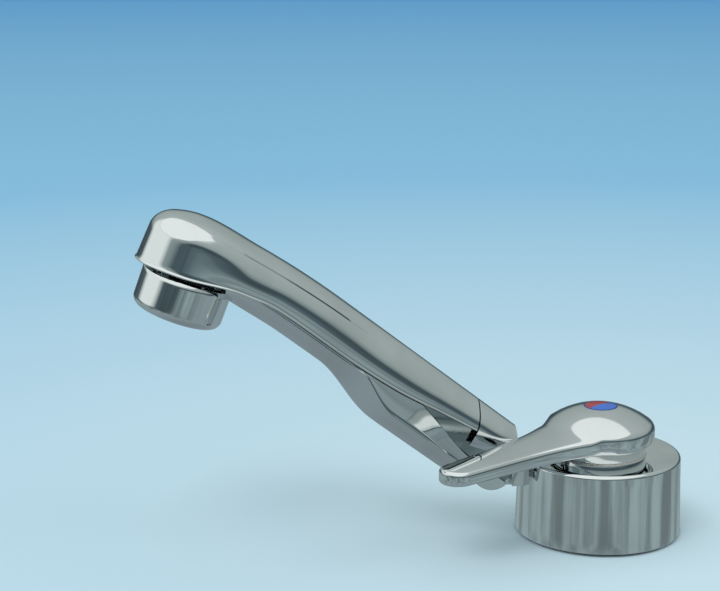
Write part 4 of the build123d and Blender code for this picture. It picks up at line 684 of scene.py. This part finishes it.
# Tray under the arm: deep at the root, shallow towards the head, with a rolled crease along each side
traySet = {
    "inset": 0.5, "wall": 1.3, "slant": 0.85, "first": 52.0, "last": 150.0, "rings": 66, "tipFade": 20.0,
    "crease": (-8.3, -1.0, 84.0, 107.0), "keel": (-13.9, -8.1, 89.0, 115.0), "rootRise": (0.9, 50.0, 60.0),
    "tipDrop": (1.2, 130.0, 152.0), "window": ((50.0, -5.3), (58.0, -4.6), (70.0, -1.75), (79.0, 0.35), (86.0, 1.5)),
    "windowEnd": 84.0, "noWindow": 9.0, "gap": 0.35, "turnUnder": 0.9,
    "keelIn": 1.1, "keelOut": 0.75, "keelUp": 0.88, "keelSteps": 4, "sideSteps": 9, "edgeSteps": 8,
    "bulge": 0.3, "bulgeOut": 0.76, "bulgeDown": 0.65, "hollow": 0.12, "hollowRise": 9.0, "beadSlantFrom": 0.3,
    "bead": ((0.62, -0.32), (0.06, 0.02), (-0.14, 0.24), (-0.36, 0.2), (-0.62, -0.02)),
    "nozzleGap": 15.35, "nozzleReach": 163.45, "nozzleOver": -10.71, "nozzleLean": 0.31, "nozzleSquash": 0.955,
    "screwStation": 72.0, "screwHole": (1.35, 2.35, 1.05), "screwRun": (-2.0, 3.0), "screwSteps": 48,
}


def keelHeight(along):
    low, high, start, end = traySet["keel"]
    rise, riseStart, riseEnd = traySet["rootRise"]
    drop, dropStart, dropEnd = traySet["tipDrop"]
    return (low + (high - low) * stepUp(along, start, end) + rise * (1 - stepUp(along, riseStart, riseEnd))
            - drop * stepUp(along, dropStart, dropEnd))


# Half section from the middle of the keel out to the crease and up to the edge
def trayHalf(along):
    low, high, start, end = traySet["crease"]
    crease = low + (high - low) * stepUp(along, start, end)
    window = curveAt(traySet["window"], along) if along < traySet["windowEnd"] else traySet["noWindow"]
    edge = min(curveAt(armSet["parting"], along) - traySet["gap"], window)
    slant, wide, floorLine = traySet["slant"], armHalf(along) - traySet["inset"], keelHeight(along)
    keel = wide - slant * (crease - floorLine)
    top = wide - slant * max(0.0, crease - edge)
    turn = min(crease, edge - traySet["turnUnder"])
    side = wide - slant * (crease - turn)
    flat, count = keel - traySet["keelIn"], traySet["keelSteps"]
    x0, y0 = keel + traySet["keelOut"], floorLine + traySet["keelUp"]
    rows = [(flat * k / count, floorLine) for k in range(count + 1)]
    for k in range(1, count + 1):                # the keel's rounded corner
        t = k / count
        rows.append((flat * (1 - t) ** 2 + 2 * keel * t * (1 - t) + x0 * t * t,
                     floorLine * (1 - t) ** 2 + 2 * floorLine * t * (1 - t) + y0 * t * t))
    below = traySet["bead"][0][0]
    x1, y1 = side - slant * below, turn - below
    for k in range(1, traySet["sideSteps"]):
        t = k / traySet["sideSteps"]
        out = traySet["bulge"] * math.sin(math.pi * t)
        rows.append((x0 + (x1 - x0) * t + traySet["bulgeOut"] * out, y0 + (y1 - y0) * t - traySet["bulgeDown"] * out))
    bend = traySet["beadSlantFrom"]
    for drop, out in traySet["bead"]:
        rows.append((side + out - (slant * (drop - bend) if drop > bend else 0.0), turn - drop))
    x0, y0 = rows[-1]
    depth = traySet["hollow"] * min(1.0, max(0.0, edge - y0) / traySet["hollowRise"])
    for k in range(1, traySet["edgeSteps"] + 1):
        t = k / traySet["edgeSteps"]
        rows.append((x0 + (top - x0) * t - depth * math.sin(math.pi * t), y0 + (edge - y0) * t))
    return rows


# The tray ends on a curve round the leaning nozzle
def trayEnd(x, over):
    axisReach = traySet["nozzleReach"] + (over - traySet["nozzleOver"]) * traySet["nozzleLean"]
    return axisReach - math.sqrt(max(traySet["nozzleGap"] ** 2 - x * x, 1.0)) * traySet["nozzleSquash"]


def makeTray():
    rings = []
    for k in range(traySet["rings"] + 1):
        along = traySet["first"] + (traySet["last"] - traySet["first"]) * k / traySet["rings"]
        fade = max(0.0, 1 - (traySet["last"] - along) / traySet["tipFade"])
        rings.append([armPoint(x, along + (trayEnd(x, over) - traySet["last"]) * fade, over)
                      for x, over in bothSides(trayHalf(along))])
    build = chainSkin(rings)
    bmesh.ops.recalc_face_normals(build, faces=build.faces)
    lowest = min(build.faces, key=lambda f: f.calc_center_median().z)
    if lowest.normal.z > 0:
        bmesh.ops.reverse_faces(build, faces=build.faces)
    bmesh.ops.scale(build, verts=build.verts, vec=(mm, mm, mm))
    tray = newPiece("spoutTray", "spout", "chrome", build, "lower_cover", sharpAngle=40.0)
    addWall(tray, traySet["wall"])
    station, (hole, head, depth), (low, high) = traySet["screwStation"], traySet["screwHole"], traySet["screwRun"]
    place = (Matrix.Diagonal((mm, mm, mm, 1.0)) @ Matrix.Translation(armPoint(0, station, keelHeight(station)))
             @ Matrix.Rotation(-math.radians(armSet["slope"]), 4, "X"))
    cutWith(tray, turnedSolid([(0, low), (head, low), (head, depth), (hole, depth), (hole, high), (0, high)],
                              traySet["screwSteps"]), "screwHole", place)
    # the cheeks that close round the hinge keep their CAD shape, up to the tray's first section
    build = bmesh.new()
    build.from_mesh(nodes["lower_cover"].data)
    bmesh.ops.remove_doubles(build, verts=build.verts, dist=cleanSet["merge"])
    cut = bmesh.ops.bisect_plane(build, geom=list(build.verts) + list(build.edges) + list(build.faces),
                                 dist=cleanSet["thin"] / 2, plane_co=armPoint(0, traySet["first"], 0) * mm,
                                 plane_no=armPoint(0, 1, 0), clear_outer=True, clear_inner=False)
    bmesh.ops.holes_fill(build, edges=[e for e in cut["geom_cut"] if isinstance(e, bmesh.types.BMEdge)], sides=0)
    build.from_mesh(tray.data)
    build.to_mesh(tray.data)
    build.free()
    tray.data.shade_smooth()
    tray.data.set_sharp_from_angle(angle=math.radians(36))


makeTray()
print("tray made")

# Hood over the hinge, in line with the cover, and the round neck under the lever
hoodSet = {
    "half": ((38.0, 5.0), (50.0, 7.6), (58.0, 8.25), (64.0, 8.75)), "first": 44.0, "last": 60.2, "rings": 22,
    "nose": 29.2, "noseBottom": 4.7, "seamBottom": -1.6, "wall": 1.3, "noseShares": (0.0, 0.4, 0.75, 0.96),
}


def makeHood():
    slope = math.radians(armSet["slope"])
    rings = []
    for k in range(hoodSet["rings"] + 1):
        share = k / hoodSet["rings"]
        middle = hoodSet["first"] + (hoodSet["last"] - hoodSet["first"]) * share
        bottomOver = hoodSet["noseBottom"] + (hoodSet["seamBottom"] - hoodSet["noseBottom"]) * share

        def betweenNoseAndSeam(reach, over):
            nose = (hoodSet["nose"] + over * math.sin(slope)) / math.cos(slope)
            seam = curveAt(armSet["seam"], over) - armSet["seamGap"] / 2
            return nose + (seam - nose) * share

        flankEnd = max(bottomOver, curveAt(armSet["parting"], middle))      # below it the side runs straight down
        rings.append(coverRing(middle, curveAt(hoodSet["half"], middle), flankEnd, betweenNoseAndSeam, 0.0,
                               flankEnd - bottomOver))
    noseReach = (hoodSet["nose"] + hoodSet["noseBottom"] * math.sin(slope)) / math.cos(slope)
    noseMiddle = armPoint(0, noseReach, hoodSet["noseBottom"])
    nose = [[noseMiddle + (place - noseMiddle) * share for place in rings[0]] for share in hoodSet["noseShares"]]
    build = chainSkin(nose + rings)
    bmesh.ops.recalc_face_normals(build, faces=build.faces)
    bmesh.ops.scale(build, verts=build.verts, vec=(mm, mm, mm))
    hood = newPiece("hingeHood", "collar", "chrome", build, "bracket_hood", sharpAngle=44.0)
    addWall(hood, hoodSet["wall"])


makeHood()
neckSet = {"steps": 128, "profile": ((14.65, 27.3), (15.2, 27.3), (15.42, 27.9), (15.5, 29.0), (15.55, 30.5),
                                     (15.5, 31.8), (15.1, 33.1), (14.4, 33.8), (13.4, 34.0), (9.0, 34.0), (9.0, 32.6),
                                     (13.2, 32.6), (14.65, 30.0), (14.65, 27.3))}
build = turnedSolid(neckSet["profile"], neckSet["steps"])
bmesh.ops.scale(build, verts=build.verts, vec=(mm, mm, mm))
newPiece("neckDome", "base", "chrome", build, "neck_cap", sharpAngle=40.0)
print("hood and neck made")

# Floor, light and camera
floorSet = {
    "half": 9.0, "height": -0.0002, "roughness": 0.9, "near": (0.62, 0.79, 0.89), "mid": (0.29, 0.60, 0.87),
    "far": (0.12, 0.42, 0.79), "nearFade": (0.05, 0.75), "farFade": (0.7, 3.4),
}


def makeFloor():
    build = bmesh.new()
    bmesh.ops.create_grid(build, x_segments=1, y_segments=1, size=floorSet["half"])
    bmesh.ops.translate(build, verts=build.verts, vec=(0, 0, floorSet["height"]))
    mesh = bpy.data.meshes.new("floor")
    build.to_mesh(mesh)
    build.free()
    floor = bpy.data.objects.new("floor", mesh)
    bpy.context.scene.collection.objects.link(floor)
    floor.visible_glossy = False          # the chrome mirrors the studio's table instead
    material, tree, shader = newMaterial("floor", floorSet["near"], 0.0, floorSet["roughness"])
    mesh.materials.append(material)
    away = tree.nodes.new("ShaderNodeVectorMath")
    away.operation = "LENGTH"
    tree.links.new(objectCoordinates(tree), away.inputs[0])
    nearShare = rangeNode(tree, away.outputs["Value"], *floorSet["nearFade"], 0.0, 1.0)
    farShare = rangeNode(tree, away.outputs["Value"], *floorSet["farFade"], 0.0, 1.0)
    nearColor = mixColor(tree, nearShare, floorSet["near"], floorSet["mid"])
    tree.links.new(mixColor(tree, farShare, nearColor, floorSet["far"]), shader.inputs["Base Color"])


# Studio round the tap: a broad white ceiling of light that comes lower on the camera's left, a grey room,
# a dark line at table height with narrow flags, and a grey table below
studioSet = {
    "lean": (0.27, -0.23), "ceilingFrom": (0.64, 0.69), "ceiling": (0.90, 0.95, 0.93),
    "flagCount": 2.0, "flagTall": 4.0, "flagDetail": 3.0, "flagRoughness": 0.62, "flagEdges": (0.41, 0.58),
    "flagLight": (0.62, 1.25), "flagHeight": -0.18, "flagFade": (0.12, 0.36),
    "panels": (((15.0, 52.0), 18.0, 27.0, (0.66, 0.72, 0.70)), ((-95.0, 34.0), 32.0, 44.0, (0.80, 0.86, 0.84))),
    "room": ((0.0, (0.22, 0.27, 0.29)), (0.22, (0.27, 0.34, 0.37)), (0.36, (0.26, 0.33, 0.34)),
             (0.425, (0.19, 0.25, 0.26)), (0.465, (0.075, 0.11, 0.125)), (0.56, (0.065, 0.095, 0.11)),
             (0.595, (0.22, 0.28, 0.28)), (0.65, (0.34, 0.40, 0.39)), (0.80, (0.40, 0.46, 0.45)),
             (1.0, (0.50, 0.55, 0.55))),
}


# The room's color from straight down, 0, to straight up, 1
def roomColor(tree, height):
    room = tree.nodes.new("ShaderNodeValToRGB")
    tree.links.new(rangeNode(tree, height, -1.0, 1.0, 0.0, 1.0), room.inputs["Fac"])
    stops = room.color_ramp.elements
    for index, (place, color) in enumerate(studioSet["room"]):
        stop = stops[index] if index < 2 else stops.new(place)
        stop.position = place
    for stop, (place, color) in zip(sorted(stops, key=lambda e: e.position), studioSet["room"]):
        stop.color = (*color, 1)
    return room.outputs["Color"]


# Upright flags and gaps near table height, seen as streaks down the drum
def flagShade(tree, east, north, height):
    around = tree.nodes.new("ShaderNodeCombineXYZ")
    bearing = mathNode(tree, "ARCTAN2", north, east)
    tree.links.new(mathNode(tree, "MULTIPLY", bearing, studioSet["flagCount"]), around.inputs["X"])
    tree.links.new(mathNode(tree, "MULTIPLY", height, studioSet["flagTall"]), around.inputs["Y"])
    streaks = noiseNode(tree, around.outputs[0], 1.0, studioSet["flagDetail"], studioSet["flagRoughness"])
    flags = rangeNode(tree, streaks, *studioSet["flagEdges"], *studioSet["flagLight"])
    away = mathNode(tree, "ABSOLUTE", mathNode(tree, "SUBTRACT", height, studioSet["flagHeight"]))
    nearTable = rangeNode(tree, away, *studioSet["flagFade"], 1.0, 0.0)
    return mathNode(tree, "ADD", mathNode(tree, "MULTIPLY", flags, nearTable),
                    mathNode(tree, "SUBTRACT", 1.0, nearTable))


def makeStudio():
    world = bpy.data.worlds.new("studio")
    bpy.context.scene.world = world
    world.use_nodes = True
    tree = world.node_tree
    direction = tree.nodes.new("ShaderNodeTexCoord").outputs["Generated"]
    parts = tree.nodes.new("ShaderNodeSeparateXYZ")
    tree.links.new(direction, parts.inputs[0])
    east, north, height = parts.outputs
    leanEast, leanNorth = studioSet["lean"]
    lean = mathNode(tree, "ADD", mathNode(tree, "MULTIPLY", east, leanEast),
                    mathNode(tree, "MULTIPLY", north, leanNorth))
    ceiling = rangeNode(tree, mathNode(tree, "ADD", height, lean), *studioSet["ceilingFrom"], 0.0, 1.0)
    flagged = tree.nodes.new("ShaderNodeVectorMath")
    flagged.operation = "SCALE"
    tree.links.new(roomColor(tree, height), flagged.inputs[0])
    tree.links.new(flagShade(tree, east, north, height), flagged.inputs["Scale"])
    lit = mixColor(tree, ceiling, flagged.outputs["Vector"], studioSet["ceiling"])
    for (turn, rise), inner, outer, color in studioSet["panels"]:      # soft bright walls, each a round patch
        turn, rise = math.radians(turn), math.radians(rise)
        facing = tree.nodes.new("ShaderNodeVectorMath")
        facing.operation = "DOT_PRODUCT"
        facing.inputs[1].default_value = (math.cos(turn) * math.cos(rise), math.sin(turn) * math.cos(rise),
                                          math.sin(rise))
        tree.links.new(direction, facing.inputs[0])
        panel = rangeNode(tree, facing.outputs["Value"], math.cos(math.radians(outer)), math.cos(math.radians(inner)),
                          0.0, 1.0)
        panel = mathNode(tree, "MULTIPLY", panel, mathNode(tree, "SUBTRACT", 1.0, ceiling))
        lit = mixColor(tree, panel, lit, color)
    background = tree.nodes["Background"]
    tree.links.new(lit, background.inputs["Color"])
    background.inputs["Strength"].default_value = 1.0


# Lamps: place, width, depth and power, all turned to the same point of the tap
lampSet = {
    "target": (0, -0.06, 0.04),
    "lamps": {"keyBox": ((0.7, -0.6, 1.3), 0.7, 0.5, 5.0), "fillBox": ((0.4, 0.9, 0.8), 0.6, 0.4, 1.5)},
}


def makeSoftboxes():
    for name, (place, width, depth, power) in lampSet["lamps"].items():
        lamp = bpy.data.lights.new(name, "AREA")
        lamp.shape = "RECTANGLE"
        lamp.size = width
        lamp.size_y = depth
        lamp.energy = power
        box = bpy.data.objects.new(name, lamp)
        bpy.context.scene.collection.objects.link(box)
        box.location = place
        box.rotation_euler = (Vector(lampSet["target"]) - Vector(place)).to_track_quat("-Z", "Y").to_euler()
        box.visible_glossy = False            # the chrome mirrors the room, not the lamps


makeFloor()
makeStudio()
makeSoftboxes()

cameraSet = {"place": (0.5295, -0.1555, 0.2049), "look": (-0.9656, 0.1356, -0.2219), "lens": 85.1, "sensor": 36.0}
lens = bpy.data.cameras.new("camera")
lens.lens = cameraSet["lens"]
lens.sensor_width = cameraSet["sensor"]
camera = bpy.data.objects.new("camera", lens)
bpy.context.scene.collection.objects.link(camera)
camera.location = cameraSet["place"]
camera.rotation_euler = Vector(cameraSet["look"]).to_track_quat("-Z", "Y").to_euler()
bpy.context.scene.camera = camera
bpy.context.scene.view_settings.view_transform = "Standard"
print("light and camera set")
